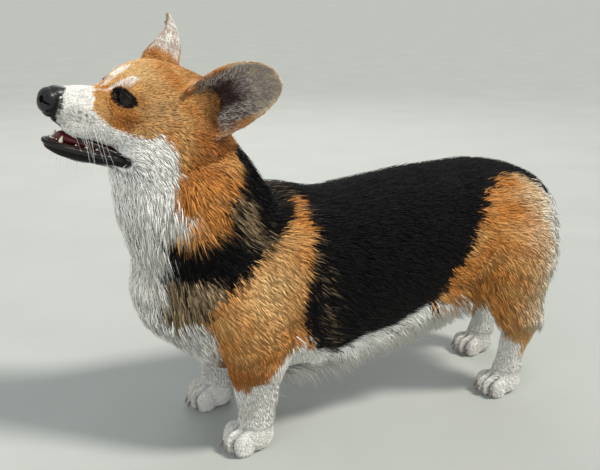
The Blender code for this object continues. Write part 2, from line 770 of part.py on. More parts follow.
def bib_locks(surface, draw):
    """Rows of locks round the front and sides of the neck and chest, from the throat down."""
    locks = []
    for row in range(5):
        height = 0.288 - 0.042 * row
        count = 6 - row % 2
        for i in range(count):
            turn = math.radians(-84 + 168 * (i + 0.5) / count + draw.uniform(-3, 3))
            start = Vector((-0.215 + 0.22 * (0.30 - height), 0, height + draw.uniform(-0.003, 0.003)))
            aim = Vector((-math.cos(turn), math.sin(turn), -0.25 * row / 4))
            spot, normal, _, _ = surface.ray_cast(start, aim.normalized())
            if spot is None:
                continue
            lie = along_surface((0.12 + 0.42 * abs(math.sin(turn)), 0, -1), normal, 0.1)
            locks.append(lock(surface, spot, normal, lie, BIB_LOCK, BIB_LIFT, draw))
    return locks


def fringe_locks(surface, draw):
    """The fringe along the lower chest and belly, hanging down and back."""
    locks = []
    for x in np.linspace(-0.126, 0.062, 6):
        for turn in (-52, -18, 18, 52):
            angle = math.radians(turn + draw.uniform(-5, 5))
            start = Vector((x + draw.uniform(-0.006, 0.006), 0, 0.165))
            spot, normal, _, _ = surface.ray_cast(start, Vector((0, math.sin(angle), -math.cos(angle))))
            if spot is None:
                continue
            lie = along_surface((0.62, 0.10 * math.copysign(1, turn), -0.78), normal, 0.55)
            shorter = 1.0 - 0.38 * max(0.0, x / 0.062)
            sizes = [size * shorter for size in FRINGE_LOCK]
            locks.append(lock(surface, spot, normal, lie, sizes, FRINGE_LIFT, draw, hug=0.15))
    return locks


def breech_locks(surface, side, draw):
    """The breeches: rows of locks down the back of the thigh."""
    locks = []
    for row in range(4):
        height = 0.222 - 0.028 * row
        for i in range(3):
            turn = math.radians(-30 + 68 * (i + 0.25 + 0.5 * (row % 2)) / 3 + draw.uniform(-4, 4))
            start = Vector((0.205, side * 0.044, height))
            aim = Vector((math.cos(turn), side * math.sin(turn), 0))
            spot, normal, _, _ = surface.ray_cast(start, aim)
            if spot is None:
                continue
            lie = along_surface((0.20, 0, -1), normal, 0.12)
            locks.append(lock(surface, spot, normal, lie, BREECH_LOCK, BREECH_LIFT, draw))
    return locks


def feather_locks(surface, side, draw):
    """Feathering down the back of the foreleg."""
    locks = []
    px, py = FORE_PAW[side]
    for row in range(2):
        start = Vector((px + 0.010, py * 1.08, 0.100 - 0.026 * row))
        for turn in (-24, 24):
            angle = math.radians(turn)
            aim = Vector((math.cos(angle), side * math.sin(angle), 0))
            spot, normal, _, _ = surface.ray_cast(start, aim)
            if spot is None:
                continue
            lie = along_surface((0.30, 0, -1), normal, 0.15)
            locks.append(lock(surface, spot, normal, lie, FEATHER_LOCK, FEATHER_LIFT, draw))
    return locks


def add_locks(core, locks, neighbours):
    """Joins locks to their core in one union, cut clear of the neighbouring pieces first."""
    bundle = locks[0]
    union_of(bundle, locks[1:])
    for neighbour in neighbours:
        wide = grown(neighbour)
        cut(bundle, wide)
        remove(wide)
    union_of(core, [bundle])
    keep_largest(core)


def union_of(obj, others):
    group = collection("union")
    for other in others:
        bpy.context.scene.collection.objects.unlink(other)
        group.objects.link(other)
    modifier = obj.modifiers.new("Union", "BOOLEAN")
    modifier.operation = "UNION"
    modifier.operand_type = "COLLECTION"
    modifier.collection = group
    modifier.solver = SOLVER
    apply_modifiers(obj)
    remove(*others)
    bpy.data.collections.remove(group)


def add_long_coat(nodes):
    """Gives the thighs, forelegs, neck and torso their locks."""
    draw = random.Random(COAT_SEED)
    by_name = {node.name: node for node in nodes}

    def rest(own):
        return [node for node in nodes if node.name != own and node.name[:3] not in ("eye", "ear")]

    for side in (LEFT, RIGHT):
        name = f"thigh_{SIDE_NAME[side]}"
        thigh = by_name[name]
        add_locks(thigh, breech_locks(surface_of(thigh), side, draw), rest(name))
    for side in (LEFT, RIGHT):
        name = f"foreleg_{SIDE_NAME[side]}"
        leg = by_name[name]
        add_locks(leg, feather_locks(surface_of(leg), side, draw), rest(name))
    add_locks(by_name["neck"], bib_locks(surface_of(by_name["neck"]), draw), rest("neck"))
    add_locks(by_name["torso"], fringe_locks(surface_of(by_name["torso"]), draw), rest("torso"))


def tail_node():
    return ball("tail", TAIL_PLACE, TAIL_RADII, TAIL_TURN, segments=14)


# Finishes: (colour, roughness)
FINISHES = {
    "head": ((0.60, 0.31, 0.12), 0.85),
    "lower_jaw": ((0.02, 0.02, 0.02), 0.5),
    "tongue": ((0.35, 0.06, 0.07), 0.4),
    "nose": ((0.01, 0.01, 0.012), 0.35),
    "eye": ((0.03, 0.015, 0.01), 0.1),
    "ear": ((0.55, 0.33, 0.18), 0.85),
    "neck": ((0.75, 0.72, 0.68), 0.9),
    "torso": ((0.03, 0.03, 0.03), 0.9),
    "tail": ((0.10, 0.08, 0.06), 0.9),
    "thigh": ((0.55, 0.28, 0.10), 0.9),
    "foreleg": ((0.55, 0.28, 0.10), 0.9),
    "hock": ((0.80, 0.78, 0.74), 0.9),
    "forepaw": ((0.80, 0.78, 0.74), 0.85),
    "hindpaw": ((0.80, 0.78, 0.74), 0.85),
}


def give_finish(obj):
    kind = obj.name if obj.name in FINISHES else obj.name.rsplit("_", 1)[0]
    colour, roughness = FINISHES[kind]
    material = bpy.data.materials.new(obj.name)
    material.use_nodes = True
    shader = material.node_tree.nodes["Principled BSDF"]
    shader.inputs["Base Color"].default_value = (*colour, 1)
    shader.inputs["Roughness"].default_value = roughness
    shader.inputs["Metallic"].default_value = 0
    obj.data.materials.clear()
    obj.data.materials.append(material)
    obj.data.shade_smooth()
    obj.data.set_sharp_from_angle(angle=CREASE)


def stand_over_origin(nodes):
    """Moves the whole dog so that the middle of its box is over the origin."""
    points = np.array([vert.co for node in nodes for vert in node.data.vertices])
    middle = (points.min(axis=0) + points.max(axis=0)) / 2
    for node in nodes:
        node.data.transform(Matrix.Translation((-middle[0], -middle[1], 0)))


def main():
    clear_scene()
    head = head_nodes()
    body = body_nodes()
    ears = [clear_of(ear(side), head[0]) for side in (LEFT, RIGHT)]
    tail = clear_of(tail_node(), *[node for node in body if node.name[:5] in ("torso", "thigh")])
    nodes = head + body + ears + [tail] + paw_nodes()
    add_long_coat(nodes)
    stand_over_origin(nodes)
    dog = collection("pembroke_welsh_corgi")
    for node in nodes:
        give_finish(node)
        bpy.context.scene.collection.objects.unlink(node)
        dog.objects.link(node)


main()
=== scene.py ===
"""The looks of a life-size Pembroke Welsh Corgi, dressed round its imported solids.

The dog is modelled in its own frame: nose towards -X, left side towards -Y, +Z up, paws on z = 0.
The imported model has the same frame, shifted so that its box is centred, and `place` carries each piece there.
A closed skin lies inside the solids by the depth of the coat, and the coat is solid tufts that root in it.
"""

import math

import bmesh
import bpy
import numpy as np
from mathutils import Euler, Matrix, Vector
from mathutils.bvhtree import BVHTree
from mathutils.kdtree import KDTree


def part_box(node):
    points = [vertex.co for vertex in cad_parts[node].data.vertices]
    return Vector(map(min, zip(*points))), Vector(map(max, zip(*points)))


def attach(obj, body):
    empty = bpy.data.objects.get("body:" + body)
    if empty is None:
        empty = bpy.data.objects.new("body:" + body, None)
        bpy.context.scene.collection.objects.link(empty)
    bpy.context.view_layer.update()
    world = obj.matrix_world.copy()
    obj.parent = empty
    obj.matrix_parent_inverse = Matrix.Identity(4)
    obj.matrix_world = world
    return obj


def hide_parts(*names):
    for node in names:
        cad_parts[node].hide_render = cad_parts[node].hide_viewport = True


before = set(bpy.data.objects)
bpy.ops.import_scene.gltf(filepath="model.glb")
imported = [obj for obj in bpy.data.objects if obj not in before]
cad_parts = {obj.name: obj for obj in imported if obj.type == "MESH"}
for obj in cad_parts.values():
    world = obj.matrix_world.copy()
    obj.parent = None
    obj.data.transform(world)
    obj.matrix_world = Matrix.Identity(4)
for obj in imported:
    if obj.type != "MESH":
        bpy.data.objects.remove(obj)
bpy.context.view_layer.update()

LEFT, RIGHT = -1, 1

# The trunk: (x, top, bottom, half width) of upright sections of the body
TRUNK = [
    (-0.232, 0.225, 0.122, 0.052),
    (-0.200, 0.258, 0.092, 0.080),
    (-0.155, 0.276, 0.078, 0.094),
    (-0.105, 0.279, 0.072, 0.099),
    (-0.045, 0.268, 0.080, 0.100),
    (0.015, 0.273, 0.094, 0.099),
    (0.080, 0.281, 0.112, 0.094),
    (0.130, 0.284, 0.126, 0.088),
    (0.175, 0.283, 0.138, 0.088),
    (0.212, 0.270, 0.142, 0.082),
    (0.240, 0.242, 0.150, 0.062),
]
WIDEST = 0.52

# The neck: (x, y, z, half width, depth in front of the path, depth behind it)
NECK = [
    (-0.135, 0.0, 0.170, 0.090, 0.102, 0.080),
    (-0.160, 0.0, 0.215, 0.086, 0.098, 0.074),
    (-0.185, 0.0, 0.262, 0.076, 0.086, 0.070),
    (-0.203, 0.0, 0.302, 0.066, 0.078, 0.065),
    (-0.216, 0.0, 0.338, 0.058, 0.067, 0.057),
    (-0.224, 0.0, 0.362, 0.050, 0.050, 0.048),
]

# The head's own frame: +X towards the nose, +Y to the dog's left, +Z up
HEAD_PLACE = (-0.257, 0.001, 0.3766)
HEAD_PITCH, HEAD_YAW, HEAD_ROLL = math.radians(13.8), math.radians(9.4), math.radians(-7.7)
NECK_PLANE, NECK_TILT = Vector((-0.220, 0, 0.318)), math.radians(14)

# (x, y, z, half width, height up, height down) along the head
SKULL = [
    (-0.088, 0, 0.000, 0.040, 0.034, 0.046),
    (-0.066, 0, 0.002, 0.052, 0.039, 0.054),
    (-0.040, 0, 0.003, 0.056, 0.042, 0.058),
    (-0.018, 0, 0.001, 0.050, 0.043, 0.054),
    (0.000, 0, -0.004, 0.041, 0.036, 0.048),
    (0.016, 0, -0.010, 0.033, 0.027, 0.040),
    (0.030, 0, -0.013, 0.028, 0.021, 0.032),
]
UPPER_JAW = [
    (-0.010, 0, -0.018, 0.040, 0.034, 0.031),
    (0.018, 0, -0.017, 0.0315, 0.030, 0.0290),
    (0.038, 0, -0.0165, 0.0260, 0.0250, 0.0262),
    (0.055, 0, -0.0150, 0.0218, 0.0215, 0.0225),
    (0.067, 0, -0.0125, 0.0180, 0.0160, 0.0175),
    (0.075, 0, -0.0115, 0.0135, 0.0105, 0.0115),
]
LOWER_JAW = [
    (-0.050, 0, -0.050, 0.040, 0.018, 0.020),
    (-0.018, 0, -0.056, 0.033, 0.010, 0.014),
    (0.015, 0, -0.0575, 0.0260, 0.0080, 0.0090),
    (0.040, 0, -0.0575, 0.0200, 0.0075, 0.0085),
    (0.058, 0, -0.0555, 0.0155, 0.0065, 0.0080),
    (0.070, 0, -0.0530, 0.0100, 0.0045, 0.0058),
]
LIP_SLOT = [
    (-0.004, 0, -0.0490, 0.050, 0.0012, 0.0012),
    (0.020, 0, -0.0482, 0.050, 0.0024, 0.0022),
    (0.044, 0, -0.0462, 0.050, 0.0050, 0.0042),
    (0.064, 0, -0.0425, 0.050, 0.0095, 0.0072),
    (0.088, 0, -0.0400, 0.050, 0.0135, 0.0100),
]
MOUTH_HOLLOW = [
    (-0.022, 0, -0.0480, 0.012, 0.0040, 0.0040),
    (0.000, 0, -0.0475, 0.0200, 0.0080, 0.0070),
    (0.025, 0, -0.0460, 0.0185, 0.0100, 0.0080),
    (0.045, 0, -0.0440, 0.0140, 0.0100, 0.0095),
    (0.060, 0, -0.0400, 0.0100, 0.0090, 0.0130),
]
ARCHED_TONGUE = [
    (-0.020, 0, -0.0500, 0.009, 0.0030, 0.0060),
    (0.005, 0, -0.0490, 0.0150, 0.0060, 0.0060),
    (0.030, 0, -0.0470, 0.0145, 0.0065, 0.0060),
    (0.048, 0, -0.0450, 0.0115, 0.0065, 0.0060),
    (0.059, 0, -0.0450, 0.0080, 0.0050, 0.0050),
    (0.063, 0, -0.0460, 0.0040, 0.0020, 0.0030),
]
EYE_CENTRE, EYE_RADIUS = (0.0092, 0.0240, 0.0066), 0.0105
EYE_GAZE = (0.84, 0.52, 0.12)
EYE_SLANT = math.radians(14)
EYE_OPENING = (0.0107, 0.0052)  # half width and half height between the lids

# Each ear: middle of its root, its tip, and the way its cup faces, in the head's frame with +Y outwards
EARS = {
    LEFT: ((-0.060, 0.046, 0.014), (-0.101, 0.103, 0.069), (0.50, 0.84, -0.20)),
    RIGHT: ((-0.045, 0.040, 0.026), (-0.060, 0.094, 0.083), (0.88, 0.42, -0.10)),
}
# Along an ear: (how far, half width, half of the angle its sheet bends through, thickness)
EAR_PROFILE = [
    (-0.14, 0.021, 118, 0.0060),
    (0.04, 0.025, 104, 0.0060),
    (0.20, 0.0285, 84, 0.0055),
    (0.38, 0.0302, 64, 0.0050),
    (0.56, 0.0292, 48, 0.0045),
    (0.72, 0.0255, 36, 0.0042),
    (0.85, 0.0200, 26, 0.0038),
    (0.94, 0.0138, 19, 0.0034),
    (0.985, 0.0075, 14, 0.0028),
]

FORE_PAW = {LEFT: (-0.155, -0.060), RIGHT: (-0.162, 0.052)}
HIND_PAW = {LEFT: (0.179, -0.056), RIGHT: (0.220, 0.058)}
FORE_PAW_SIZE, HIND_PAW_SIZE = (0.056, 0.048, 0.034), (0.055, 0.044, 0.030)

SKIN_CELL = 0.0020


# Small helpers


def smoothstep(low, high, value):
    t = np.clip((value - low) / (high - low), 0, 1)
    return t * t * (3 - 2 * t)


def mix(a, b, share):
    """Goes from a to b by a share for each point, for numbers or for rows of three."""
    share = np.asarray(share, float)
    if np.ndim(a) > 1 or np.ndim(b) > 1 or (np.shape(b) == (3,) and share.ndim == 1):
        share = share[:, None]
    return a * (1 - share) + np.asarray(b) * share


def unit(rows):
    return rows / np.maximum(np.linalg.norm(rows, axis=1, keepdims=True), 1e-9)


def plain(colour, count):
    """One colour as a row for each of `count` points."""
    return np.tile(colour, (count, 1))


def bell(value, middle, width):
    """1 at the middle, falling smoothly to almost nothing at two widths from it."""
    return np.exp(-(((value - middle) / width) ** 2))


def on_side(point, side):
    """A point or a direction that is given for +Y, carried to the given side."""
    x, y, z = point
    return Vector((x, y * side, z))


def ripple(points, size, seed):
    """Soft noise of about -1 to 1 that varies over the given size."""
    draw = np.random.default_rng(seed)
    total = np.zeros(len(points))
    count = 9
    for _ in range(count):
        wave = draw.normal(size=3)
        wave *= math.tau / size * draw.uniform(0.5, 1.7) / np.linalg.norm(wave)
        total += np.sin(points @ wave + draw.uniform(0, math.tau))
    return total / math.sqrt(count)


def edge_distance(x, z, outline):
    """Signed distance in a plane to a closed outline, positive inside."""
    nearest = np.full(len(x), 1e9)
    inside = np.zeros(len(x), bool)
    for (ax, az), (bx, bz) in zip(outline, outline[1:] + outline[:1]):
        dx, dz = bx - ax, bz - az
        t = np.clip(((x - ax) * dx + (z - az) * dz) / (dx * dx + dz * dz), 0, 1)
        nearest = np.minimum(nearest, np.hypot(x - ax - t * dx, z - az - t * dz))
        if dz:
            crosses = (az > z) != (bz > z)
            inside ^= crosses & (x < ax + (z - az) * dx / dz)
    return np.where(inside, nearest, -nearest)


def head_matrix():
    turn = Euler((HEAD_ROLL, -HEAD_PITCH, math.pi + HEAD_YAW)).to_matrix().to_4x4()
    return Matrix.Translation(HEAD_PLACE) @ turn


HEAD = head_matrix()
HEAD_TURN = np.array(HEAD.to_3x3())


def to_head(points):
    return (points - np.array(HEAD_PLACE)) @ HEAD_TURN


def offset_to_frame():
    """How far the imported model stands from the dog's own frame, read from its left eye."""
    low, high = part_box("eye_L")
    return (low + high) / 2 - HEAD @ Vector(EYE_CENTRE)


OFFSET = offset_to_frame()


def place(obj, replaces=()):
    """Carries a finished piece from the dog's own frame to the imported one, and lets it ride there."""
    obj.data.transform(Matrix.Translation(OFFSET))
    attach(obj, "root")
    if replaces:
        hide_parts(*replaces)
    return obj


# Forms


def smooth_rows(rows, count):
    """Reads a table of stations as a smooth curve (Catmull-Rom by chord length) and resamples it."""
    rows = np.array(rows, float)
    ends = np.vstack([2 * rows[0] - rows[1], rows, 2 * rows[-1] - rows[-2]])
    steps = np.linalg.norm(np.diff(ends[:, :3], axis=0), axis=1)
    at = np.concatenate([[0], np.cumsum(np.sqrt(np.maximum(steps, 1e-6)))])
    found = []
    for t in np.linspace(at[1], at[-2], count):
        i = int(np.clip(np.searchsorted(at, t, "right") - 1, 1, len(rows) - 1))
        t0, t1, t2, t3 = at[i - 1 : i + 3]
        p0, p1, p2, p3 = ends[i - 1 : i + 3]
        a1 = (t1 - t) / (t1 - t0) * p0 + (t - t0) / (t1 - t0) * p1
        a2 = (t2 - t) / (t2 - t1) * p1 + (t - t1) / (t2 - t1) * p2
        a3 = (t3 - t) / (t3 - t2) * p2 + (t - t2) / (t3 - t2) * p3
        b1 = (t2 - t) / (t2 - t0) * a1 + (t - t0) / (t2 - t0) * a2
        b2 = (t3 - t) / (t3 - t1) * a2 + (t - t1) / (t3 - t1) * a3
        found.append((t2 - t) / (t2 - t1) * b1 + (t - t1) / (t2 - t1) * b2)
    return np.array(found)


def ring_of(centre, across, over, half_width, up, down, roundness, sides):
    """A closed section: an oval with its own heights above and below its centre."""
    points = []
    for i in range(sides):
        turn = math.tau * i / sides
        c, s = math.cos(turn), math.sin(turn)
        u = math.copysign(abs(c) ** (2 / roundness), c) * half_width
        v = math.copysign(abs(s) ** (2 / roundness), s) * (up if s > 0 else down)
        points.append(Vector(centre) + Vector(across) * u + Vector(over) * v)
    return points


def skin_rings(mesh, rings, closed=False):
    """Faces between the rings, with the end rings joined where it is closed, or else filled with fans."""
    rows = [[mesh.verts.new(p) for p in ring] for ring in rings]
    sides = len(rows[0])
    for a, b in zip(rows, rows[1:] + (rows[:1] if closed else [])):
        for i in range(sides):
            j = (i + 1) % sides
            mesh.faces.new((a[i], a[j], b[j], b[i]))
    for row, step in () if closed else ((rows[0], -1), (rows[-1], 1)):
        middle = mesh.verts.new(sum((v.co for v in row), Vector()) / sides)
        for i in range(sides):
            pair = (row[i], row[(i + 1) % sides])
            mesh.faces.new((pair if step > 0 else pair[::-1]) + (middle,))


def add_object(name, data):
    obj = bpy.data.objects.new(name, data)
    bpy.context.scene.collection.objects.link(obj)
    return obj


def mesh_object(mesh, name):
    data = bpy.data.meshes.new(name)
    mesh.to_mesh(data)
    mesh.free()
    data.shade_smooth()
    return add_object(name, data)


def finish_mesh(mesh, name):
    bmesh.ops.recalc_face_normals(mesh, faces=mesh.faces[:])
    return mesh_object(mesh, name)


def limb(name, stations, up=(1, 0, 0), sides=28, rings=32, roundness=2.0, at=None, dome=0.6):
    """A body or limb lofted along a path of (x, y, z, half width, height above the path, height below it)."""
    rows = smooth_rows(stations, rings)
    centres = [Vector(r[:3]) for r in rows]
    mesh = bmesh.new()
    loops = []
    for i, row in enumerate(rows):
        along = (centres[min(i + 1, rings - 1)] - centres[max(i - 1, 0)]).normalized()
        across = along.cross(Vector(up)).normalized()
        over = across.cross(along).normalized()
        loops.append(ring_of(centres[i], across, over, *row[3:6], roundness, sides))
    for end, inner in ((0, 1), (-1, -2)) if dome else ():
        middle = sum(loops[end], Vector()) / sides
        outwards = (middle - sum(loops[inner], Vector()) / sides).normalized()
        reach = min((p - middle).length for p in loops[end]) * dome
        caps = [
            [middle + (p - middle) * math.cos(a) + outwards * reach * math.sin(a) for p in loops[end]]
            for a in (0.5, 0.9, 1.25)
        ]
        loops = caps[::-1] + loops if end == 0 else loops + caps
    skin_rings(mesh, loops)
    if at is not None:
        bmesh.ops.transform(mesh, matrix=at, verts=mesh.verts[:])
    return finish_mesh(mesh, name)


def ball(name, centre, radii, turn=(0, 0, 0), at=None, segments=28):
    """An egg-shaped mass, such as a cheek or a toe."""
    mesh = bmesh.new()
    matrix = Matrix.Translation(centre) @ Euler(turn).to_matrix().to_4x4() @ Matrix.Diagonal((*radii, 1))
    if at is not None:
        matrix = at @ matrix
    bmesh.ops.create_uvsphere(mesh, u_segments=segments, v_segments=segments // 2, radius=1, matrix=matrix)
    return finish_mesh(mesh, name)


def remove(*objects):
    for obj in objects:
        bpy.data.objects.remove(obj)


def joined(name, pieces):
    mesh = bmesh.new()
    for piece in pieces:
        mesh.from_mesh(piece.data)
    remove(*pieces)
    return mesh_object(mesh, name)


def apply_modifiers(obj):
    data = bpy.data.meshes.new_from_object(obj.evaluated_get(bpy.context.evaluated_depsgraph_get()))
    old = obj.data
    obj.modifiers.clear()
    obj.data = data
    data.materials.clear()
    bpy.data.meshes.remove(old)


def fused(name, pieces, cell, smoothing):
    """Melts overlapping pieces into one smooth closed surface."""
    obj = joined(name, pieces)
    remesh = obj.modifiers.new("Remesh", "REMESH")
    remesh.mode = "VOXEL"
    remesh.voxel_size = cell
    remesh.use_smooth_shade = True
    smooth = obj.modifiers.new("Smooth", "SMOOTH")
    smooth.factor = 0.5
    smooth.iterations = smoothing
    apply_modifiers(obj)
    return obj


def cut(obj, cutter):
    modifier = obj.modifiers.new("Cut", "BOOLEAN")
    modifier.object = cutter
    modifier.operation = "DIFFERENCE"
    modifier.solver = "MANIFOLD"
    apply_modifiers(obj)
    remove(cutter)


def rows_of(items, value, width, kind=np.float32):
    """Reads one value of every item, such as the place of each vertex, as rows of the given width."""
    found = np.empty(len(items) * width, kind)
    items.foreach_get(value, found)
    return found.reshape(-1, width)


def points_of(data):
    return rows_of(data.vertices, "co", 3).astype(float)


def normals_of(data):
    return rows_of(data.vertex_normals, "vector", 3).astype(float)


def triangles_of(data):
    data.calc_loop_triangles()
    return rows_of(data.loop_triangles, "vertices", 3, np.int32)


def set_points(data, points):
    data.vertices.foreach_set("co", points.astype(np.float32).ravel())
    data.update()


# The body's forms, as the solids have them


def fore_leg(side):
    px, py = FORE_PAW[side]
    return limb(
        "fore_leg",
        [
            (-0.172, side * 0.052, 0.200, 0.034, 0.040, 0.046),
            (-0.158, side * 0.068, 0.160, 0.036, 0.042, 0.048),
            (-0.148, side * 0.072, 0.122, 0.031, 0.038, 0.040),
            (px + 0.007, side * 0.068, 0.090, 0.0245, 0.0290, 0.0300),
            (px + 0.008, py * 1.03, 0.064, 0.0205, 0.0230, 0.0250),
            (px + 0.010, py, 0.042, 0.0195, 0.0200, 0.0195),
            (px + 0.006, py, 0.018, 0.0200, 0.0190, 0.0190),
        ],
        up=(-1, 0, 0),
    )


def hind_leg(side):
    px, py = HIND_PAW[side]
    return limb(
        "hind_leg",
        [
            (0.185, side * 0.040, 0.240, 0.036, 0.055, 0.044),
            (0.178, side * 0.058, 0.198, 0.036, 0.062, 0.064),
            (0.180, side * 0.064, 0.158, 0.033, 0.054, 0.064),
            (0.190, side * 0.064, 0.122, 0.028, 0.040, 0.042),
            (px + 0.023, py * 1.05, 0.088, 0.0200, 0.0250, 0.0230),
            (px + 0.015, py * 1.02, 0.060, 0.0165, 0.0165, 0.0165),
            (px + 0.012, py, 0.038, 0.0165, 0.0160, 0.0160),
            (px + 0.006, py, 0.016, 0.0175, 0.0170, 0.0170),
        ],
        up=(-1, 0, 0),
    )


def toes(x, y, length, width, height):
    """The middle of each toe of a paw, with how far across the paw it lies, from -1 to 1."""
    for i in range(4):
        across = (i - 1.5) / 1.5
        ahead = 0.31 - 0.12 * abs(across) ** 1.5
        yield across, (x - length * ahead, y + across * width * 0.34, height * 0.34)


def toe_gap(points):
    """How near points lie to the clefts between the toes, from 0 to 1."""
    found = np.zeros(len(points))
    for places, (length, width, height) in ((FORE_PAW, FORE_PAW_SIZE), (HIND_PAW, HIND_PAW_SIZE)):
        for x, y in places.values():
            ahead = (points[:, 0] - x) / length
            across = (points[:, 1] - y) / width
            front = smoothstep(-0.04, -0.22, ahead) * (np.abs(across) < 0.6) * (ahead > -0.8)
            front = front * smoothstep(1.05, 0.80, points[:, 2] / height)
            for cleft in (-0.227, 0.0, 0.227):
                found = np.maximum(found, front * bell(across, cleft, 0.034))
    return found


def paw(x, y, length, width, height):
    parts = [ball("pad", (x + length * 0.08, y, height * 0.46), (length * 0.42, width * 0.44, height * 0.56))]
    for across, toe in toes(x, y, length, width, height):
        parts.append(ball("toe", toe, (length * 0.235, width * 0.150, height * 0.45), (0, 0, -0.22 * across)))
    return parts


def ear_frame(side):
    """Root, tip direction, width direction, facing and length of an ear, in the head's frame."""
    root, tip, facing = (on_side(v, -side) for v in EARS[side])
    along = (tip - root).normalized()
    facing = (facing - along * facing.dot(along)).normalized()
    return root, along, along.cross(facing).normalized(), facing, (tip - root).length


def ear(side):
    """A cupped sheet: each row across it is an arc, bent further round towards the root."""
    root, along, across, facing, length = ear_frame(side)
    profile = np.array(EAR_PROFILE)
    rings = []
    count = 20
    for t in np.linspace(profile[0, 0], profile[-1, 0], 36):
        half, bend, thick = (np.interp(t, profile[:, 0], profile[:, k]) for k in (1, 2, 3))
        bend = math.radians(bend)
        radius = half / math.sin(min(bend, math.pi / 2))
        middle = root + along * length * t - facing * 0.012 * math.sin(math.pi * min(max(t, 0), 1))
        hub = middle + facing * radius * math.cos(bend * 0.5)
        inner, outer = [], []
        for i in range(count):
            angle = bend * (2 * i / (count - 1) - 1)
            out = across * math.sin(angle) - facing * math.cos(angle)
            taper = 0.55 + 0.45 * math.cos(angle / bend * math.pi / 2)
            inner.append(hub + out * radius)
            outer.append(hub + out * (radius + thick * taper))
        rings.append(inner + outer[::-1])
    mesh = bmesh.new()
    skin_rings(mesh, rings)
    bmesh.ops.transform(mesh, matrix=HEAD, verts=mesh.verts[:])
    bmesh.ops.triangulate(mesh, faces=mesh.faces[:])
    return finish_mesh(mesh, "ear")


# Balls on both sides, given for +Y, the head's in its own frame: (name, centre, radii, turn)
BODY_MASSES = [
    ("shoulder", (-0.150, 0.058, 0.190), (0.055, 0.040, 0.068), (0, 0.35, 0)),
    ("breech", (0.212, 0.046, 0.180), (0.042, 0.036, 0.066), (0, 0.10, 0)),
]
HEAD_MASSES = [
    ("cheek", (-0.034, 0.037, -0.026), (0.036, 0.024, 0.036), (0, 0, 0)),
    ("brow", (0.004, 0.021, 0.020), (0.014, 0.010, 0.007), (0, 0.5, 0)),
    ("ear_seat", (-0.058, 0.036, 0.018), (0.026, 0.016, 0.024), (0, 0, 0)),
    ("lip", (0.040, 0.0165, -0.028), (0.026, 0.0080, 0.0125), (0, 0.20, 0)),
]
TAIL_STUMP = ("tail", (0.247, 0, 0.236), (0.022, 0.017, 0.016), (0, 0.5, 0))


def masses(table, side, at=None):
    return [ball(name, (x, side * y, z), radii, turn, at) for name, (x, y, z), radii, turn in table]


def body_forms():
    rows = []
    for x, top, bottom, half in TRUNK:
        middle = bottom + (top - bottom) * WIDEST
        rows.append((x, 0, middle, half, top - middle, middle - bottom))
    pieces = [
        limb("trunk", rows, up=(0, 0, 1), sides=48, rings=60, roundness=2.25),
        limb("neck", NECK, up=(-1, 0, 0), sides=48, rings=32, roundness=2.1),
        ball(*TAIL_STUMP),
    ]
    for side in (LEFT, RIGHT):
        pieces += [fore_leg(side), hind_leg(side)] + masses(BODY_MASSES, side)
        pieces += paw(*FORE_PAW[side], *FORE_PAW_SIZE) + paw(*HIND_PAW[side], *HIND_PAW_SIZE)
    return pieces


def head_forms():
    pieces = [
        limb("skull", SKULL, up=(0, 0, 1), at=HEAD, sides=36, roundness=2.25),
        limb("upper_jaw", UPPER_JAW, up=(0, 0, 1), at=HEAD, roundness=2.3),
        limb("lower_jaw", LOWER_JAW, up=(0, 0, 1), at=HEAD, roundness=2.2),
    ]
    for side in (-1, 1):
        pieces += masses(HEAD_MASSES, side, HEAD)
    return pieces


def eye_frame(side):
    """A frame at the eye: +X along the gaze, +Y along the opening of the lids. Side 1 is the dog's left."""
    gaze = on_side(EYE_GAZE, side).normalized()
    level = Vector((0, 0, 1)).cross(gaze).normalized()
    upward = gaze.cross(level)
    along = level * math.cos(EYE_SLANT) - upward * math.sin(EYE_SLANT) * side
    over = gaze.cross(along)
    turn = Matrix((gaze, along, over)).transposed().to_4x4()
    return HEAD @ Matrix.Translation(on_side(EYE_CENTRE, side)) @ turn


def in_eye_frame(points, side):
    back = np.array(eye_frame(side).inverted())
    return points @ back[:3, :3].T + back[:3, 3]


def eye_rim(points, above=0.0, below=0.0):
    """Distance from the middle of the nearer eye's opening, where 1 is at the lids moved out by a margin."""
    nearest = np.full(len(points), 9.0)
    for side in (-1, 1):
        e = in_eye_frame(points, side)
        margin = np.where(e[:, 2] > 0, above, below)
        rim = np.hypot(e[:, 1] / (EYE_OPENING[0] + margin), e[:, 2] / (EYE_OPENING[1] + margin))
        here = (e[:, 0] > 0) & (np.linalg.norm(e, axis=1) < 0.024)
        nearest = np.where(here, np.minimum(nearest, rim), nearest)
    return nearest


# Zones of the coat


class Ears:
    """Where points lie on the ears: how much they belong to one, how far up it, and on which face."""

    def __init__(self, forms):
        self.trees = {side: BVHTree.FromObject(form, bpy.context.evaluated_depsgraph_get())
                      for side, form in forms.items()}

    def read(self, points, normals):
        h = to_head(points)
        share = np.zeros(len(points))
        along_ear = np.zeros(len(points))
        over_ear = np.zeros(len(points))
        inner = np.zeros(len(points))
        for side, tree in self.trees.items():
            root, along, across, facing, length = (np.array(v) for v in ear_frame(side))
            t = (h - root) @ along / length
            near = (t > -0.25) & (np.abs((h - root) @ across) < 0.045) & (h[:, 1] * -side > 0.01)
            index = np.nonzero(near)[0]
            gap = np.full(len(points), 1.0)
            for i in index:
                gap[i] = tree.find_nearest(Vector(points[i]), 0.02)[3] or 0.02 if t[i] > -0.2 else 1.0
            here = smoothstep(0.0045, 0.0025, gap) * smoothstep(-0.02, 0.10, t)
            turned = normals @ (HEAD_TURN @ facing)
            wins = here > share
            share = np.where(wins, here, share)
            along_ear = np.where(wins, t, along_ear)
            over_ear = np.where(wins, (h - root) @ across, over_ear)
            inner = np.where(wins, smoothstep(0.0, 0.35, turned), inner)
        return share, along_ear, over_ear, inner


